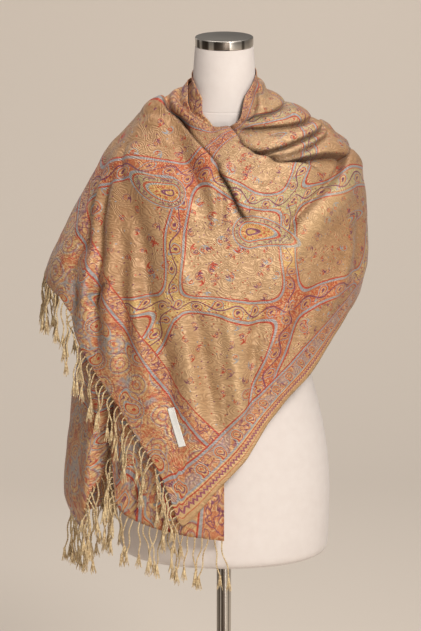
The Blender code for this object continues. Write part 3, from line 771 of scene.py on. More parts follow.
coarse_zones = tuple((start, end, max(8, count // 3)) for start, end, count in ZONES)
coarse_rows = 36
map_azimuth, map_height = sheet_grid(coarse_zones, coarse_rows)
map_points = hull(map_azimuth, map_height)
number = np.arange(map_azimuth.size).reshape(map_azimuth.shape)
corners = [number[:-1, :-1], number[1:, :-1], number[1:, 1:], number[:-1, 1:]]
one, two, three, four = (corner.ravel() for corner in corners)
triangles = np.concatenate([np.stack([one, two, three], 1), np.stack([one, three, four], 1)])

hem = map_azimuth[:, -1]
ends = np.full(map_azimuth.shape, np.nan)
ends[(hem >= THROWN_CORNER) & (hem <= FRONT_CORNER), -1] = 0
ends[hem >= UNDER_CORNER, -1] = 1
sides = np.full(map_azimuth.shape, np.nan)
sides[(hem >= FRONT_CORNER) & (hem <= UNDER_CORNER), -1] = 0
sides[:, 0] = sides[0] = sides[-1] = 1
sides[hem < THROWN_CORNER, -1] = 1
flat_points = map_points.reshape(-1, 3)
end_field, pull = settle(flat_points, triangles, ends.ravel())
side_field, _ = settle(flat_points, triangles, sides.ravel())
end_field = end_field.reshape(map_azimuth.shape)
side_field = side_field.reshape(map_azimuth.shape)
print("fields on", map_azimuth.size, "points, pull", round(pull, 4))

# %% From fields to metres
# The slope at the middle of the front tells how many metres of cloth a field spans.
middle = np.argmin(abs(hem - 12))
rows = slice(coarse_rows // 2, coarse_rows - 2)
nearby = slice(middle - 4, middle + 5)
belt_row = coarse_rows * 3 // 4
rise = abs(np.diff(side_field[middle, rows])).sum()
span = np.linalg.norm(np.diff(map_points[middle, rows], axis=0), axis=1).sum()
over = abs(np.diff(side_field[nearby, belt_row])).sum()
breadth = np.linalg.norm(np.diff(map_points[nearby, belt_row], axis=0), axis=1).sum()
MAP_WIDTH = 1 / np.hypot(rise / span, over / breadth)
MAP_LENGTH = MAP_WIDTH / pull
print("map", round(MAP_WIDTH, 3), "x", round(MAP_LENGTH, 3), "m")


def on_sheet(field):
    """A field of the coarse map at every point of the fine grid."""
    across = np.array([np.interp(row_shares(ROWS), row_shares(coarse_rows), row) for row in field])
    return np.array([np.interp(azimuth[:, 0], hem, line) for line in across.T]).T


along = on_sheet(end_field) * MAP_LENGTH
across = on_sheet(side_field) * MAP_WIDTH

# %% [markdown]
# ## Making the sheet
#
# `create_grid` numbers its points row by row, so a point's number tells which place it takes. The
# wall is a Solidify modifier: the cloth is less than a millimetre thick, and its inner face only
# shows at the edges. Each point also carries a painted shade for its colour: dark in the folds'
# creases and troughs, a little light on their ridges.

# %% The sheet's mesh
CLOTH_THICKNESS = 0.0009
SHAWL_NODES = (
    "shawl_front_wrap", "shawl_far_shoulder", "shawl_back", "shawl_shoulder_flap", "shawl_under_end"
)


def add_piece(bm, name, material, node_names, sharp=None):
    """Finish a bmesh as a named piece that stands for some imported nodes."""
    mesh = bpy.data.meshes.new(name)
    bm.to_mesh(mesh)
    bm.free()
    mesh.materials.append(material)
    mesh.shade_smooth()
    if sharp:
        mesh.set_sharp_from_angle(angle=math.radians(sharp))
    piece = bpy.data.objects.new(name, mesh)
    bpy.context.scene.collection.objects.link(piece)
    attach(piece, "root")
    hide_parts(*node_names)
    return piece


def add_wall(piece, thickness, offset):
    wall = piece.modifiers.new("wall", "SOLIDIFY")
    wall.thickness = thickness
    wall.offset = offset


cloth, cloth_shader, cloth_wire = new_material(
    "shawl_weave", metallic=0.22, sheen_weight=0.1, sheen_roughness=0.4, specular_ior_level=0.5
)
columns = azimuth.shape[0]
bm = bmesh.new()
bmesh.ops.create_grid(bm, x_segments=columns - 1, y_segments=ROWS, size=1)
bm.verts.ensure_lookup_table()
# Painted shade: each point keeps how dark its colour is painted in the folds (above 0.5) or how light
# on their ridges (below 0.5).
crease = bm.verts.layers.float.new("crease")
for number, vert in enumerate(bm.verts):
    row, which = divmod(number, columns)
    vert.co = points[which, row]
    vert[crease] = min(max(shade[which, row] * 0.5 + 0.5, 0.0), 1.0)
layer = bm.loops.layers.uv.new("cloth")
for face in bm.faces:
    for loop in face.loops:
        row, which = divmod(loop.vert.index, columns)
        loop[layer].uv = (along[which, row], across[which, row])
bm.normal_update()
bm.faces.ensure_lookup_table()
sample = bm.faces[columns // 2]
centre = sample.calc_center_median()
if sample.normal.dot(Vector((centre.x, centre.y, 0))) < 0:
    bmesh.ops.reverse_faces(bm, faces=bm.faces)
shawl = add_piece(bm, "shawl", cloth, SHAWL_NODES)
add_wall(shawl, CLOTH_THICKNESS, -1)
print("sheet of", len(shawl.data.polygons), "faces")

# %% [markdown]
# ## The woven pattern
#
# The ground is gold with fine raised worm lines, which are level lines of a noise. Over it lies a
# net of bands, edged by a blue-grey line between two thin red ones, and in the fields small sprigs
# and a few large paisleys, the traditional drop with a bent tip. Along the selvedge runs a narrow
# border, and each fringed end has a deep one, full of medallions. All of it is worked out from the
# cloth's two coordinates, in metres. Outlines are level lines of such values, and a filling is a
# wide line round 0.

# %% Pattern colours
GOLD = srgb(200, 160, 108)
GOLD_DARK = srgb(146, 106, 64)
GOLD_LIGHT = srgb(224, 190, 138)
RED = srgb(176, 58, 34)
RUST = srgb(184, 102, 64)
BLUE = srgb(148, 149, 152)
PURPLE = srgb(116, 54, 84)
YELLOW = srgb(208, 156, 82)
SAGE = srgb(168, 154, 114)
LILAC = srgb(156, 142, 140)
RED_GROUND = srgb(180, 82, 48)
print("the gold ground as light:", [round(level, 2) for level in GOLD])

# %% Coordinates and a little waver
wire = cloth_wire
place = wire.node("ShaderNodeUVMap", {"uv_map": "cloth"})


def cloth_noise(vector, scale, detail=0.0, output="Fac"):
    return vector.noise(scale, detail, output, "2D")


def vector_math(operation, one, two):
    return wire.node("ShaderNodeVectorMath", {"operation": operation}, {0: one, 1: two})


def combined(x, y):
    return wire.node("ShaderNodeCombineXYZ", None, {0: x, 1: y})


def split(vector):
    parts = wire.node("ShaderNodeSeparateXYZ", None, {0: vector})
    return parts, parts.other("Y")


def wavering(scale, amount):
    """The cloth's coordinates, pushed about a little, as lines drawn by hand are."""
    push = vector_math("SUBTRACT", cloth_noise(place, scale, 1.0, "Color"), (0.5, 0.5, 0.5))
    push = wire.node("ShaderNodeVectorMath", {"operation": "SCALE"}, {0: push, "Scale": amount})
    return vector_math("ADD", place, push)


def worms(vector, scale, thin):
    """Curly lines: the places where a noise is near its middle."""
    return abs(cloth_noise(vector, scale, 1.5) - 0.5).ramp(thin, 0.0)


def patches(scale, low, high):
    """Slow patches between 0 and 1."""
    return cloth_noise(place, scale).ramp(low, high)


def inlay(colour, level, lines):
    """Paint lines: the centre, half width, softness, strength and colour of each are given."""
    for centre, half, soft, strength, paint in lines:
        colour = colour.paint(level.line(centre, half, soft) * strength, paint)
    return colour


def show_nodes(done):
    print(done, "- material nodes so far:", len(cloth.node_tree.nodes))


drawn = wavering(24.0, 0.010)
flowing = wavering(5.0, 0.060)
true_along, true_across = split(place)
show_nodes("coordinates")

# %% [markdown]
# ## Ground, ticks and sprigs
#
# A pashmina is filled with small ornaments between its large ones. A picture of them would have to
# be drawn first and would blur close up. Cells of a Voronoi texture give each sprig its own place
# and its own random numbers instead: one turns it, and the other decides whether it is there.

# %% Gold ground
stretched = combined(true_along + true_across, (true_along - true_across) * 0.5)
ripple = (cloth_noise(stretched, 34.0, 1.0) * 58.0).math("SINE") * 0.5 + 0.5
ground = ripple.blend(srgb(179, 141, 104), srgb(203, 165, 123))
ground = ground.paint(patches(34.0, 0.50, 0.80) * 0.25, GOLD_DARK)
# Painted shade: the gold is darkened towards both sides, where the cloth turns away from the lamp.
shaded_side_run = (true_along - true_across) * math.sqrt(0.5)
ground = ground.paint(abs(shaded_side_run - 0.04).ramp(0.08, 0.26) * 0.46, srgb(150, 98, 58))
show_nodes("gold ground")

# %% Drops
TIP_LEAN = 0.25
TIP_TAPER = 0.10
DROP_REACH = 1.15
DROP_POINT = 8.0


def scatter(scale, chance):
    """Cells on the cloth: a place's offset from its cell's middle, and two random numbers."""
    cells = wire.node("ShaderNodeTexVoronoi", {"voronoi_dimensions": "2D"}, {
        "Vector": place, "Scale": scale, "Randomness": chance}, "Position")
    luck, other_luck = split(cells.other("Color"))
    return vector_math("SUBTRACT", place, cells), luck, other_luck


def drop_at(x, y, turned, radius, curl):
    """A paisley as a level, 0 at its eye and 1 at its outline, and the turn round the eye."""
    away = (x * x + y * y).math("SQRT") / radius
    turn = y.math("ARCTAN2", x) + turned + away * curl
    tip = (turn.math("COSINE") * 0.5 + 0.5).math("POWER", DROP_POINT)
    return away / (tip * DROP_REACH + 1.0), turn


def long_drop(x, y, turned, radius, bend):
    """A long paisley as a level, 0 at its eye and 1 at its outline, turned to an angle."""
    ahead = x * math.cos(turned) + y * math.sin(turned)
    forward = ahead.math("MAXIMUM", 0.0)
    back = ahead.math("MINIMUM", 0.0)
    aside = y * math.cos(turned) - x * math.sin(turned) - forward * forward * bend
    lean = forward * TIP_LEAN
    away = (aside * aside + back * back + lean * lean).math("SQRT") + forward * TIP_TAPER
    return away / radius


def drops(scale, chance, radius, curl):
    """A paisley in each of many cells."""
    local, luck, other_luck = scatter(scale, chance)
    x, y = split(local)
    level, turn = drop_at(x, y, luck * (2 * math.pi), radius, curl)
    return level, turn, other_luck


print("a small drop's tip lies", 1 + DROP_REACH, "radii from its eye")

# %% Ticks and sprigs
TICKS = (
    # cells to the metre, colour, share of the cells that stay empty
    (104.0, RED, 0.80),
    (92.0, PURPLE, 0.82),
    (78.0, BLUE, 0.82),
)
SPRIGS = (
    # cells to the metre, radius, colours of outline and seed, share of the cells that stay empty
    (33.0, 0.0038, RED, PURPLE, 0.56),
    (27.0, 0.0046, PURPLE, RUST, 0.62),
    (24.0, 0.0052, BLUE, RED, 0.66),
    (21.0, 0.0060, RED, PURPLE, 0.68),
)


def ticks(colour, scale, paint, empty):
    """Tiny strokes in one colour."""
    level, _, luck = drops(scale, 1.0, 0.0010, 0.6)
    return colour.paint(level.ramp(1.35, 0.9) * luck.ramp(empty, empty + 0.02) * 0.9, paint)


def hooks(colour, scale, radius, paint, seed, empty):
    """Small curled leaves: open outlines with a seed in them."""
    level, turn, luck = drops(scale, 1.0, radius, 1.3)
    kept = luck.ramp(empty, empty + 0.02)
    open_side = turn.math("COSINE").ramp(-0.75, -0.35)
    return inlay(colour, level, (
        (1.00, 0.17, 0.07, open_side * kept, paint),
        (0.40, 0.12, 0.07, kept, seed),
    ))


field = ground
for row in TICKS:
    field = ticks(field, *row)
for row in SPRIGS:
    field = hooks(field, *row)
show_nodes("ticks and sprigs")

# %% [markdown]
# ## Bands and paisleys
#
# Bands cross the cloth and leave fields between them. Two sets of even stripes, a little bent, make
# them. The distance to the nearest one tells what is band and what is field, and a smooth minimum
# rounds the crossings. Paisleys are level lines too. Those in the fields take their places from the
# net. Two on the front are listed one by one, because they are the first thing that one sees.

# %% The net of bands
NET_RISE = 0.260
RISE_LEAN = 0.29
RISE_SHIFT = 0.115
NET_STEP = 0.250
STEP_LEAN = 0.04
STEP_SHIFT = 0.98
BAND_HALF = 0.0225
MELT = 0.050


def stripe(value, period, shift):
    """How far a value is from the nearest of a row of even lines, with its sign."""
    return ((value / period + shift).math("FRACT") - 0.5) * period


def waves(value, length, size):
    return (value * (2 * math.pi / length)).math("SINE") * size


flow_along, flow_across = split(flowing)
level_run = (flow_along + flow_across) * math.sqrt(0.5)
side_run = (flow_along - flow_across) * math.sqrt(0.5)
rise_run = level_run - side_run * RISE_LEAN + waves(side_run, 0.47, 0.024)
lean_run = side_run - level_run * STEP_LEAN + waves(level_run, 0.52, 0.030)
rising = stripe(rise_run, NET_RISE, RISE_SHIFT) * (1 / math.hypot(1, RISE_LEAN))
leaning = stripe(lean_run, NET_STEP, STEP_SHIFT)
to_band = abs(rising).math("SMOOTH_MIN", abs(leaning), MELT)
rising_is_near = (abs(leaning) - abs(rising)).ramp(-0.002, 0.002)


def of_nearest(for_leaning, for_rising):
    """The value that belongs to the nearest band."""
    inputs = {0: rising_is_near, 2: for_leaning, 3: for_rising}
    return wire.node("ShaderNodeMix", {"data_type": "FLOAT"}, inputs)


middle_line = of_nearest(leaning, rising)
run_line = of_nearest(level_run, side_run)
show_nodes("net")

# %% Large paisleys in the fields of the net
FRONT_PAISLEYS = (
    # along, across, turned, radius, bend
    (0.297, 0.490, 2.78, 0.0212, -3.4),
    (0.414, 0.352, -0.42, 0.0262, -3.6),
)
petals = worms(place, 95.0, 0.10)
fine_petals = worms(place, 150.0, 0.10)


def paisley(colour, x, y, turned, radius, bend, shown=1.0):
    """Nested outlines round an eye, with a row of small leaves between two of them."""
    return inlay(colour, long_drop(x, y, turned, radius, bend), (
        (0.00, 1.350, 0.010, shown * 0.75, SAGE),
        (1.36, 0.045, 0.015, shown, BLUE),
        (1.26, 0.030, 0.012, shown, RED),
        (1.07, 0.120, 0.030, petals * shown, PURPLE),
        (0.86, 0.040, 0.015, shown, RED),
        (0.76, 0.040, 0.012, shown, BLUE),
        (0.00, 0.690, 0.010, shown * 0.7, YELLOW),
        (0.54, 0.140, 0.030, fine_petals * shown, RED),
        (0.26, 0.070, 0.030, shown, PURPLE),
    ))


cell_x = stripe(lean_run, NET_STEP, STEP_SHIFT - 0.5)
cell_y = stripe(rise_run, NET_RISE, RISE_SHIFT + 0.5)
cell_number = combined(
    (lean_run / NET_STEP + (STEP_SHIFT - 0.5)).math("FLOOR"),
    (rise_run / NET_RISE + (RISE_SHIFT + 0.5)).math("FLOOR"),
)
dice = wire.node(
    "ShaderNodeTexWhiteNoise", {"noise_dimensions": "2D"}, {"Vector": cell_number}, "Color"
)
luck, other_luck = split(dice)
cell_x = cell_x - (luck - 0.5) * 0.05
cell_y = cell_y - (other_luck - 0.5) * 0.05
behind = true_along.ramp(0.62, 0.64)
field = paisley(field, cell_x, cell_y, 0.8, 0.0190, -3.4, behind)
level, _, luck = drops(9.0, 0.9, 0.0082, 0.6)
kept = luck.ramp(0.62, 0.64)
field = inlay(field, level, (
    (1.30, 0.06, 0.02, kept, BLUE),
    (1.05, 0.07, 0.02, kept, RED),
    (0.70, 0.13, 0.03, petals * kept, PURPLE),
    (0.00, 0.31, 0.03, kept, RUST),
))
show_nodes("paisleys")

# %% The bands
CHAIN = 0.038
in_front = true_along.ramp(0.80, 0.70)
low_right = side_run.ramp(0.10, 0.13) * level_run.ramp(0.50, 0.46)
high_left = side_run.ramp(-0.05, -0.09) * level_run.ramp(0.48, 0.52)
high_middle = level_run.ramp(0.56, 0.60) * side_run.ramp(-0.07, -0.03)
band = patches(4.6, 0.46, 0.54).blend(SAGE, YELLOW)
band = band.paint(in_front * 0.8, srgb(204, 162, 96)).paint(in_front * high_middle * 0.85, SAGE)
band = band.paint(in_front * (low_right + high_left) * 0.92, RED_GROUND)
band = band.paint(patches(6.1, 0.52, 0.56) * (1 - in_front) * 0.8, RED_GROUND)
band = band.paint(worms(place, 96.0, 0.07) * 0.55, GOLD_LIGHT)
band = ticks(ticks(band, 108.0, RED, 0.60), 97.0, PURPLE, 0.60)
bead = stripe(run_line, CHAIN, 0.0)
beside = middle_line - waves(run_line, 2 * CHAIN, 0.0050)
level, _ = drop_at(bead, beside, run_line * (math.pi / CHAIN), 0.0064, 0.7)
band = inlay(band, level, (
    (0.00, 1.39, 0.03, 0.6, GOLD),
    (1.40, 0.13, 0.06, 1.0, BLUE),
    (1.05, 0.13, 0.06, 1.0, RED),
    (0.00, 0.42, 0.06, 1.0, PURPLE),
))
stem = middle_line + waves(run_line, 2 * CHAIN, 0.0085)
band = band.paint(stem.line(0.0, 0.0014, 0.0005), PURPLE)


def edged(colour, distance, at, side):
    """A blue-grey line between two thin red ones, as at the border of each band."""
    return inlay(colour, distance, (
        (at, 0.0022, 0.0006, 0.92, BLUE),
        (at + side * 0.0038, 0.0013, 0.0005, 1.0, RED),
        (at - side * 0.0032, 0.0009, 0.0004, 1.0, RUST),
    ))


field = edged(field.paint(to_band.below(BAND_HALF), band), to_band, BAND_HALF - 0.0045, 1)
for at_along, at_across, *form in FRONT_PAISLEYS:
    field = paisley(field, true_along - at_along, true_across - at_across, *form)
show_nodes("bands")

# %% [markdown]
# ## Borders
#
# A shawl ends in deep borders, and narrow ones run along its sides. Its own coordinates tell how
# far a place is from each edge, so the borders need no mask. The medallions are rings round the
# middles of Voronoi cells: a colour ramp has one stop for each ring.

# %% Medallions of the end borders
END_BORDER = 0.094
UNDER_BORDER = 0.250
RUST_BAND = 0.024
medal = wire.node("ShaderNodeTexVoronoi", {"voronoi_dimensions": "2D"}, {
    "Vector": drawn, "Scale": 21.0, "Randomness": 0.7}, "Distance")
rings = medal.node("ShaderNodeValToRGB", {"stops": (
    (0.00, RED), (0.06, YELLOW), (0.14, LILAC), (0.19, RED), (0.22, GOLD), (0.31, GOLD),
    (0.35, PURPLE), (0.38, BLUE), (0.43, GOLD), (0.49, RUST), (0.53, GOLD), (0.60, RUST),
    (1.0, RED_GROUND))}, {0: medal})
rich = rings.paint(0.22, srgb(194, 156, 112))
rich = rich.paint(worms(drawn, 74.0, 0.07) * 0.45, GOLD_LIGHT)
rich = rich.paint(worms(drawn, 88.0, 0.050) * 0.72, RED)
rich = rich.paint(worms(place, 60.0, 0.035) * 0.60, PURPLE)
rich = rich.paint(patches(18.0, 0.52, 0.62) * worms(place, 50.0, 0.14) * 0.75, BLUE)
level, _, _ = drops(12.0, 0.6, 0.0140, 0.5)
rich = inlay(rich, level, (
    (0.00, 1.28, 0.02, 0.6, GOLD),
    (1.30, 0.05, 0.02, 1.0, BLUE),
    (1.17, 0.03, 0.02, 1.0, RED),
    (0.96, 0.12, 0.03, petals, PURPLE),
    (0.74, 0.05, 0.02, 1.0, BLUE),
    (0.60, 0.05, 0.02, 1.0, RED),
    (0.36, 0.10, 0.03, fine_petals, RUST),
    (0.00, 0.18, 0.02, 1.0, RED),
))
rich_under = edged(rich, to_band, BAND_HALF - 0.0045, 1)
florets = rings.paint(0.6, srgb(188, 122, 82)).paint(worms(place, 92.0, 0.07) * 0.6, GOLD_LIGHT)
florets = florets.paint(worms(drawn, 84.0, 0.06), PURPLE)


def end_border(colour, distance, width, filling):
    """A deep border of medallions, a narrow rust one inside it, and their lines."""
    colour = colour.paint(distance.below(width + RUST_BAND - 0.0005), florets)
    colour = colour.paint(distance.line(width + RUST_BAND, 0.0011, 0.0005), RED)
    return edged(colour.paint(distance.below(width), filling), distance, width, -1)


flow_edge = (flow_along - true_along) * 0.35
colour = end_border(field, true_along + flow_edge, END_BORDER, rich)
colour = end_border(colour, MAP_LENGTH - true_along + flow_edge, UNDER_BORDER, rich_under)
show_nodes("end borders")

# %% Selvedge border
RIM_BORDER = 0.0300
BORDER = 0.0560
STRIP = 0.0250
OVAL_STEP = 0.040
TOOTH_STEP = 0.0062
TOOTH_RISE = 1.4
TOOTH_FOOT = 0.0112

rim_side = MAP_WIDTH - true_across
colour = edged(colour.paint(rim_side.below(RIM_BORDER), florets), rim_side, RIM_BORDER, 1)
inner = true_across - (BORDER + STRIP) * 0.5
level, _ = drop_at(stripe(true_along, OVAL_STEP, 0.0), inner, 0.6, 0.0068, 0.5)
strip = inlay(florets.paint(patches(22.0, 0.50, 0.56) * 0.5, LILAC), level, (
    (0.00, 1.33, 0.03, 0.8, GOLD),
    (1.32, 0.10, 0.05, 1.0, BLUE),
    (1.00, 0.10, 0.05, 1.0, RED),
    (0.62, 0.09, 0.05, 1.0, PURPLE),
    (0.00, 0.29, 0.05, 1.0, RUST),
))
colour = edged(colour.paint(true_across.below(BORDER), strip), true_across, BORDER, 1)
colour = colour.paint(true_across.below(STRIP - 0.0005), srgb(202, 164, 116))
teeth = true_across - TOOTH_FOOT - abs(stripe(true_along, TOOTH_STEP, 0.0)) * TOOTH_RISE
colour = inlay(colour, teeth, (
    (0.0, 0.0021, 0.0006, 1.0, srgb(144, 74, 92)),
    (0.0044, 0.0008, 0.0004, 1.0, RUST),
))
colour = inlay(colour, true_across, (
    (0.0205, 0.0009, 0.0004, 1.0, RED),
    (STRIP, 0.0014, 0.0005, 1.0, BLUE),
    (0.0, 0.0063, 0.0005, 1.0, srgb(190, 152, 108)),
    (0.0068, 0.0006, 0.0004, 1.0, RUST),
))
show_nodes("selvedge border")

# %% [markdown]
# ## Threads and creases
#
# Close up, cloth shows its threads and a dry grain. They are so fine that a bumped normal is enough
# for their relief. The number that each point carries is painted shade: it darkens the colour in
# the folds' creases and troughs, where little light comes back, and paints a small highlight on the
# ridges.

# %% Threads, sheen and relief of the cloth
thread = wire.node("ShaderNodeTexWave", {"bands_direction": "DIAGONAL"}, {
    "Vector": place, "Scale": 330.0, "Distortion": 0.4})
grain = cloth_noise(place, 520.0, 2.0)
colour = colour.paint(grain.ramp(0.50, 0.78) * 0.28, srgb(220, 184, 136))
colour = colour.paint(grain.ramp(0.48, 0.20) * 0.26, GOLD_DARK)
# Painted shade darkens the colour in the creases and troughs of the folds, and a painted highlight
# lightens it on the ridges.
painted_shade_in_folds = wire.node("ShaderNodeAttribute", {"attribute_name": "crease"}, None, "Fac")
colour = colour.paint(painted_shade_in_folds.ramp(0.50, 1.00) * 0.86, srgb(66, 42, 28))
colour = colour.paint(painted_shade_in_folds.ramp(0.50, 0.36) * 0.30, srgb(240, 206, 152))
feed(cloth_shader, base_color=colour, roughness=0.56 - ripple * 0.12)
height_field = ripple * 0.8 + thread * 0.10 + grain * 0.22 + petals * 0.2
feed(cloth_shader, normal=bumpy(height_field, 0.0007))
show_nodes("threads")

# %% [markdown]
# ## The fringe
#
# At each fringed end the warp threads are twisted in bundles and knotted, and below the knot they
# open in a soft tuft. Each strand is two thin plies wound round one path, which leaves square to
# the cloth's edge and soon hangs straight down. Curves with a round section make the plies; they
# become one mesh for each stretch of the edge.

# %% Paths of the strands
STRAND_SPACING = 0.0108
STRAND_LENGTH = 0.085
TUFT_LENGTH = 0.021
PATH_STEPS = 15
# How uneven the strands are: their places, lengths and leans, and how soon they hang straight.
ROOT_JITTER = 0.18
LENGTHS = (0.90, 1.08)
SOON = (0.12, 0.40)
LEANS = (0.12, 0.05)
SWAYS = (0.24, 0.10)
SWAY_TURN = 9
OUT_LEAN = 0.25
FIRST_FALL = 0.12
EDGE_STEPS = 240
# Neighbours lean towards each other in slow waves along the edge.
GATHER_RUN = 0.043
GATHER_SIZES = (0.16, 0.10)
SECOND_TURN = 4.1
# The layer underneath: an azimuth on its side of the hull, where it begins, its heights, where
# strands hang over it, and how far below its edge that ends.
UNDER_SIDE = 300.0
UNDER_BEGIN = 215
UNDER_HEIGHTS = (0.69, 1.4)
OVER_FROM, OVER_TO = -140, -1
BELOW_EDGE = 0.002
generator = np.random.default_rng(7)


def edge_line(start, end):
    """Places along the cloth's lowest edge, their run, and the frame there."""
    at = np.linspace(start, end, EDGE_STEPS)
    level = edge_height(at)
    spot = cloth_points(at, level)
    run = np.concatenate([[0], np.cumsum(np.linalg.norm(np.diff(spot, axis=0), axis=1))])
    normal, _, _ = hull_frame(at, level)
    way = np.gradient(spot, axis=0)
    way /= np.linalg.norm(way, axis=1, keepdims=True)
    square = np.cross(way, normal)
    square *= -np.sign(square[:, 2:])
    return spot, run, normal, square


def hang(start, end, clearance, over_layer):
    """Paths of all the strands that hang from a stretch of the edge."""
    spot, run, normal, square = edge_line(start, end)
    count = int(run[-1] / STRAND_SPACING)
    jitter = ROOT_JITTER * generator.uniform(-1, 1, count)
    at = (np.arange(count) + 0.5 + jitter) * run[-1] / count

    def along_run(values):
        return np.stack([np.interp(at, run, values[:, axis]) for axis in range(3)], 1)

    root, out, way = (along_run(values) for values in (spot, normal, square))
    length = (STRAND_LENGTH - TUFT_LENGTH) * generator.uniform(*LENGTHS, count)
    phase = generator.uniform(0, math.tau, (count, 2))
    soon = generator.uniform(*SOON, count)
    slow, quick = (np.sin(at / GATHER_RUN * turn) for turn in (math.tau, SECOND_TURN))
    gather = GATHER_SIZES[0] * slow + GATHER_SIZES[1] * quick
    lean = generator.uniform(-1, 1, (count, 2)) * LEANS + gather[:, None] * (1.0, 0.0)
    step = length[:, None] / PATH_STEPS
    place = root - out * CLOTH_THICKNESS / 2 - way * 0.001
    path = [place]
    for number in range(PATH_STEPS):
        share = number / PATH_STEPS
        fall = ramp(share, -0.06, soon)[:, None]
        sideways = lean + SWAYS * np.sin(phase + share * SWAY_TURN)
        sway = np.column_stack([sideways, np.full(count, -1.0)])
        heading = (way + out * OUT_LEAN) * (1 - fall) + sway * (fall + FIRST_FALL)
        heading /= np.linalg.norm(heading, axis=1, keepdims=True)
        place = place + heading * step
        if over_layer:
            place = keep_out(place, clearance)
        path.append(place)
    return np.stack(path, 1)


def keep_out(place, clearance):
    """Move places that would be inside the layer underneath to its outer face."""
    wide, deep = half_sizes(np.full(len(place), UNDER_SIDE), place[:, 2])
    turn = np.degrees(np.arctan2(place[:, 0] / wide, -place[:, 1] / deep))
    azimuth = np.maximum(turn + 360, UNDER_BEGIN)
    surface = cloth_points(azimuth, np.clip(place[:, 2], *UNDER_HEIGHTS))
    above_edge = place[:, 2] > edge_height(azimuth) - BELOW_EDGE
    covered = (turn < OVER_TO) & (turn > OVER_FROM) & above_edge
    reach = np.linalg.norm(surface[:, :2], axis=1) + clearance
    now = np.linalg.norm(place[:, :2], axis=1)
    more = np.where(covered & (now < reach), reach / now, 1.0)
    return np.concatenate([place[:, :2] * more[:, None], place[:, 2:]], 1)


print("thrown end's edge runs", round(edge_line(THROWN_CORNER, FRONT_CORNER)[1][-1], 3), "m")

# %% Plies, knots and tufts
PLY_RADIUS = 0.00085
PLY_APART = 0.85
TWIST_PITCH = 0.0085
KNOT_HALF = 0.0022
KNOT_RADII = (1.1, 2.3, 2.7, 2.3, 1.2)
CORE_SHARE = 0.8
CORE_RADII = (1.6, 2.4, 2.9, 2.8, 2.2, 0.8)
HAIRS = 10
HAIR_SPREADS = (0.0026, 0.0056)
HAIR_LENGTHS = (0.82, 1.12)
HAIR_RADII = (1.05, 0.50)


def add_spline(curve, places, radii):
    spline = curve.splines.new("POLY")
    spline.points.add(len(places) - 1)
    flat = np.concatenate([places, np.ones((len(places), 1))], 1)
    spline.points.foreach_set("co", flat.ravel())
    spline.points.foreach_set("radius", np.broadcast_to(radii, len(places)).astype(float).copy())


def add_strand(curve, path):
    """Two twisted plies along a path, a knot at its end and a tuft under it."""
    run = np.concatenate([[0], np.cumsum(np.linalg.norm(np.diff(path, axis=0), axis=1))])
    at = np.linspace(0, run[-1], 44)
    line = np.stack([np.interp(at, run, path[:, axis]) for axis in range(3)], 1)
    turn = at * (math.tau / TWIST_PITCH) + generator.uniform(0, math.tau)
    for half in (0, math.pi):
        offset = np.stack([np.cos(turn + half), np.sin(turn + half), 0 * turn], 1)
        add_spline(curve, line + offset * PLY_RADIUS * PLY_APART, 1.0)
    tip = path[-1]
    fall = np.array([0, 0, -1.0])
    add_spline(curve, tip + fall * np.linspace(-KNOT_HALF, KNOT_HALF, 5)[:, None], KNOT_RADII)
    share = np.linspace(0, 1, 6)
    add_spline(curve, tip + fall * (share * TUFT_LENGTH * CORE_SHARE)[:, None], CORE_RADII)
    for hair in range(HAIRS):
        round_turn = math.tau * hair / HAIRS + generator.uniform(-0.3, 0.3)
        spread = generator.uniform(*HAIR_SPREADS)
        long = TUFT_LENGTH * generator.uniform(*HAIR_LENGTHS)
        flare = 0.0010 + spread * share**1.2
        curl = generator.uniform(-0.6, 0.6) * share
        side = np.stack([np.cos(round_turn + curl), np.sin(round_turn + curl), 0 * share], 1)
        places = tip + side * flare[:, None] + fall * (share * long)[:, None]
        add_spline(curve, places, np.linspace(*HAIR_RADII, 6))


yarn, yarn_shader, wire = new_material("fringe_yarn", sheen_weight=0.3, sheen_roughness=0.5)
place = wire.node("ShaderNodeTexCoord", output="Object")
fibre = place.noise(260.0, 2.0)
tone = fibre.ramp(0.35, 0.68).blend(srgb(176, 144, 100), srgb(226, 202, 156))
tone = tone.paint(place.noise(38.0).ramp(0.5, 0.8) * 0.5, srgb(226, 204, 160))
feed(yarn_shader, base_color=tone, roughness=fibre * 0.3 + 0.55, normal=bumpy(fibre, 0.0004))

FRINGES = (
    # node, azimuth at the start and end, clearance from the layer underneath, hangs over that layer
    ("fringe_thrown_side", THROWN_CORNER, -88, 0.003, False),
    ("fringe_thrown_front", -88, FRONT_CORNER, 0.003, True),
    ("fringe_under_side", UNDER_CORNER, UNDER_TURN, 0.0, False),
    ("fringe_under_front", UNDER_TURN, SHEET_END, 0.0, False),
)
for name, *stretch in FRINGES:
    curve = bpy.data.curves.new(name + "_yarn", "CURVE")
    curve.dimensions = "3D"
    curve.bevel_depth = PLY_RADIUS
    curve.bevel_resolution = 0
    curve.use_fill_caps = True
    paths = hang(*stretch)
    for path in paths:
        add_strand(curve, path)
    holder = bpy.data.objects.new(name + "_holder", curve)
    mesh = bpy.data.meshes.new_from_object(holder)
    bpy.data.objects.remove(holder)
    bm = bmesh.new()
    bm.from_mesh(mesh)
    bmesh.ops.recalc_face_normals(bm, faces=bm.faces)
    piece = add_piece(bm, name + "_strands", yarn, (name,))
    print(name, len(paths), "strands,", len(piece.data.polygons), "faces")

# %% [markdown]
# ## The label
#
# A narrow woven tape lies flat on the cloth near the end border. It is left bare. It follows the
# cloth's surface, so its points are placed by the same function, a little further out.

# %% The label
LABEL_AZIMUTH = -16.8
LABEL_HEIGHT = 0.897
LABEL_HALF_LENGTH = 0.0330
LABEL_HALF_WIDTH = 0.0062
LABEL_TILT = math.radians(-73)
LABEL_LIFT = 0.0012
LABEL_WALL = 0.0008

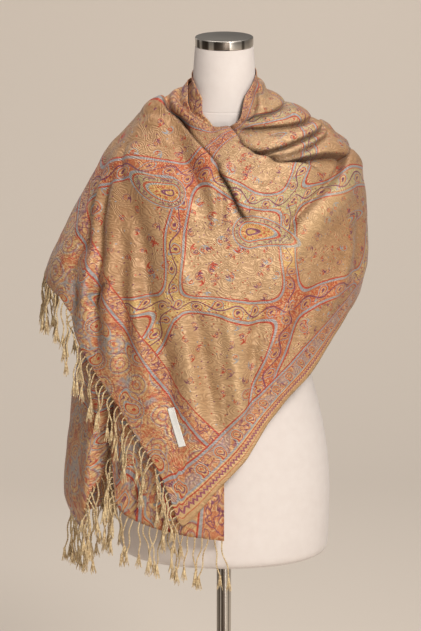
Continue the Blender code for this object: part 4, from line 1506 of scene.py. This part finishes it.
bm = bmesh.new()
bmesh.ops.create_grid(bm, x_segments=40, y_segments=8, size=1)
flat = np.array([vert.co for vert in bm.verts])
length, width = flat[:, 0] * LABEL_HALF_LENGTH, flat[:, 1] * LABEL_HALF_WIDTH
wide, deep = half_sizes(LABEL_AZIMUTH, np.array(LABEL_HEIGHT))
turn = math.radians(LABEL_AZIMUTH)
reach = np.hypot(wide * math.cos(turn), deep * math.sin(turn))
sideways = length * math.cos(LABEL_TILT) - width * math.sin(LABEL_TILT)
upward = length * math.sin(LABEL_TILT) + width * math.cos(LABEL_TILT)
label_azimuth = LABEL_AZIMUTH + np.degrees(sideways / reach)
label_height = LABEL_HEIGHT + upward
spots = cloth_points(label_azimuth, label_height)
spots += hull_frame(label_azimuth, label_height)[0] * LABEL_LIFT
label_map = bm.loops.layers.uv.new("tape")
for vert, spot in zip(bm.verts, spots):
    vert.co = spot
for face in bm.faces:
    for loop in face.loops:
        which = loop.vert.index
        loop[label_map].uv = (length[which], width[which])
bmesh.ops.recalc_face_normals(bm, faces=bm.faces)
if bm.faces[:][0].normal.y > 0:
    bmesh.ops.reverse_faces(bm, faces=bm.faces)
tape, tape_shader, wire = new_material("label_tape", roughness=0.75, sheen_weight=0.2)
place = wire.node("ShaderNodeUVMap", {"uv_map": "tape"})
ribs = wire.node("ShaderNodeTexWave", {"bands_direction": "X"}, {"Vector": place, "Scale": 260.0})
rib_tone = ribs.blend(srgb(222, 220, 214), srgb(240, 238, 233))
feed(tape_shader, base_color=rib_tone, normal=bumpy(ribs, 0.0002))
label = add_piece(bm, "bare_label", tape, ("label",))
add_wall(label, LABEL_WALL, 1)
print("label of", len(label.data.polygons), "faces")

# %% [markdown]
# ## The dress form
#
# The form is a padded shell under tight linen. A spin makes its round skin from a straight profile,
# and each point is then moved out to the level section at its height: wider than deep, with the
# bust and the seat of a body. Its neck has the faint seam where the cover's collar is sewn on.

# %% The form's body
FORM_LEVELS = (
    # height, half width, front, back
    (0.6400, 0.1620, 0.1080, 0.1000),
    (0.6450, 0.1700, 0.1150, 0.1070),
    (0.6560, 0.1745, 0.1190, 0.1110),
    (0.6900, 0.1765, 0.1210, 0.1150),
    (0.7487, 0.1777, 0.1200, 0.1200),
    (0.7925, 0.1759, 0.1180, 0.1210),
    (0.8483, 0.1689, 0.1130, 0.1170),
    (0.9039, 0.1575, 0.1060, 0.1070),
    (0.9600, 0.1430, 0.0980, 0.0940),
    (1.0200, 0.1330, 0.0950, 0.0880),
    (1.0800, 0.1390, 0.1060, 0.0930),
    (1.1400, 0.1500, 0.1230, 0.1000),
    (1.1800, 0.1560, 0.1280, 0.1040),
    (1.2300, 0.1640, 0.1190, 0.1070),
    (1.2800, 0.1700, 0.1020, 0.1040),
    (1.3100, 0.1640, 0.0900, 0.0970),
    (1.3350, 0.1490, 0.0750, 0.0880),
    (1.3550, 0.1260, 0.0620, 0.0780),
    (1.3740, 0.0960, 0.0510, 0.0690),
    (1.3900, 0.0720, 0.0490, 0.0620),
    (1.4100, 0.0570, 0.0485, 0.0570),
    (1.4350, 0.0518, 0.0488, 0.0530),
    (1.4620, 0.0508, 0.0485, 0.0515),
    (1.5040, 0.0480, 0.0470, 0.0490),
)
NECK_SEAM = 1.4010
SEAM_DEPTH = 0.0007
SEAM_WIDTH = 0.0012
SEAM_REACH = 0.004
ROUND_STEPS = 96


def spun(profile):
    """A closed form from a profile of radius and height, spun round the Z axis."""
    bm = bmesh.new()
    line = [bm.verts.new((radius, 0, height)) for radius, height in profile]
    edges = [bm.edges.new(pair) for pair in zip(line, line[1:])]
    bmesh.ops.spin(
        bm, geom=line + edges, angle=math.tau, steps=ROUND_STEPS, axis=(0, 0, 1), cent=(0, 0, 0),
        use_merge=True,
    )
    bmesh.ops.remove_doubles(bm, verts=bm.verts, dist=1e-6)
    bmesh.ops.recalc_face_normals(bm, faces=bm.faces)
    return bm


low, high = FORM_LEVELS[0][0], FORM_LEVELS[-1][0]
heights = np.concatenate([
    np.linspace(low, 0.70, 14, endpoint=False),
    np.linspace(0.70, NECK_SEAM - SEAM_REACH, 70, endpoint=False),
    np.linspace(NECK_SEAM - SEAM_REACH, NECK_SEAM + SEAM_REACH, 13),
    np.linspace(NECK_SEAM + 0.005, high, 16),
])
bm = spun([(0, low), (0.5, low), *((1, height) for height in heights), (0.5, high), (0, high)])
for vert in bm.verts:
    wide, front, back = (float(size) for size in section(FORM_LEVELS, np.array(vert.co.z)))
    groove = SEAM_DEPTH * bell(vert.co.z - NECK_SEAM, SEAM_WIDTH)
    size = 1 - groove / wide
    vert.co.x *= wide * size
    vert.co.y *= (front if vert.co.y < 0 else back) * size

linen, linen_shader, wire = new_material("form_linen", roughness=0.88, sheen_weight=0.15)
place = wire.node("ShaderNodeTexCoord", output="Object")
warp, weft = (
    wire.node("ShaderNodeTexWave", {"bands_direction": direction}, {
        "Vector": place, "Scale": 210.0, "Distortion": 1.5, "Detail": 1.0})
    for direction in "XZ"
)
slub = place.noise(60.0, 3.0)
weave = (warp + weft) * 0.5
linen_tone = slub.blend(srgb(216, 205, 198), srgb(226, 217, 211))
feed(linen_shader, base_color=linen_tone, normal=bumpy(weave * 0.6 + slub * 0.4, 0.0003))
body = add_piece(bm, "form_shell", linen, ("form_body",), 50)
print("form of", len(body.data.polygons), "faces")

# %% [markdown]
# ## Cap, pole and base
#
# The steel parts are turned, so each is a spun profile with small bevels. Their brushing runs round
# them: a noise that is stretched flat along the height makes its fine rings. Dark streaks round the
# sides of the cap and the pole are a painted reflection of the room, and the cap's flat top is
# painted darker as a reflection too.

# %% Brushed steel
PIECE_GAP = 0.0003
CAP_TOP = 1.5197
CAP_RADIUS = 0.0478
CAP_BEVEL = 0.0016
POLE_RADIUS = 0.0122
BASE_RADIUS = 0.165
BASE_THICKNESS = 0.012
BASE_BEVEL = 0.0015

steel, steel_shader, wire = new_material("brushed_steel", metallic=1.0)
place = wire.node("ShaderNodeTexCoord", output="Object")


def scaled(x, y, z):
    return wire.node("ShaderNodeMapping", None, {"Vector": place, "Scale": (x, y, z)})


brush = scaled(1.0, 1.0, 90.0).noise(9.0, 4.0)
around = wire.node("ShaderNodeVectorMath", {"operation": "NORMALIZE"}, {0: scaled(1.0, 1.0, 0.0)})
up = wire.node("ShaderNodeSeparateXYZ", None, {0: place}, "Z")
on_top = up.ramp(CAP_TOP - 0.0014, CAP_TOP - 0.0006)
on_side = (1 - on_top) * up.ramp(BASE_THICKNESS + 0.0001, BASE_THICKNESS + 0.0003)
# Painted reflection: dark vertical streaks round the cap and the pole stand for the room mirrored in
# the steel.
painted_reflection_streaks = around.noise(2.6, 1.0).ramp(0.52, 0.42) * on_side
steel_tone = brush.blend(srgb(196, 188, 178), srgb(238, 232, 222)).paint(painted_reflection_streaks, srgb(92, 83, 75))
# Painted reflection: the cap's flat top is darkened.
steel_tone = steel_tone.paint(on_top * 0.45, srgb(122, 113, 104))
feed(steel_shader, base_color=steel_tone, roughness=brush * 0.2 + 0.22, normal=bumpy(brush, 0.0001))
print("steel nodes:", len(steel.node_tree.nodes))


# %% Turned parts
def drum(name, low, high, radius, bevel, node):
    corner = [
        (radius - bevel * (1 - math.sin(turn)), bevel * (1 - math.cos(turn)))
        for turn in np.linspace(0, math.pi / 2, 5)
    ]
    lower = [(size, low + rise) for size, rise in corner]
    upper = [(size, high - rise) for size, rise in corner[::-1]]
    bm = spun([(0, low), *lower, *upper, (0, high)])
    return add_piece(bm, name, steel, (node,), 35)


foot = BASE_THICKNESS + PIECE_GAP
drum("steel_cap", high + PIECE_GAP, CAP_TOP, CAP_RADIUS, CAP_BEVEL, "neck_cap")
drum("steel_pole", foot, low - PIECE_GAP, POLE_RADIUS, PIECE_GAP, "pole")
drum("steel_base", 0.0, BASE_THICKNESS, BASE_RADIUS, BASE_BEVEL, "base")
print("pole of", round((low - foot) * 1000), "mm under the form")
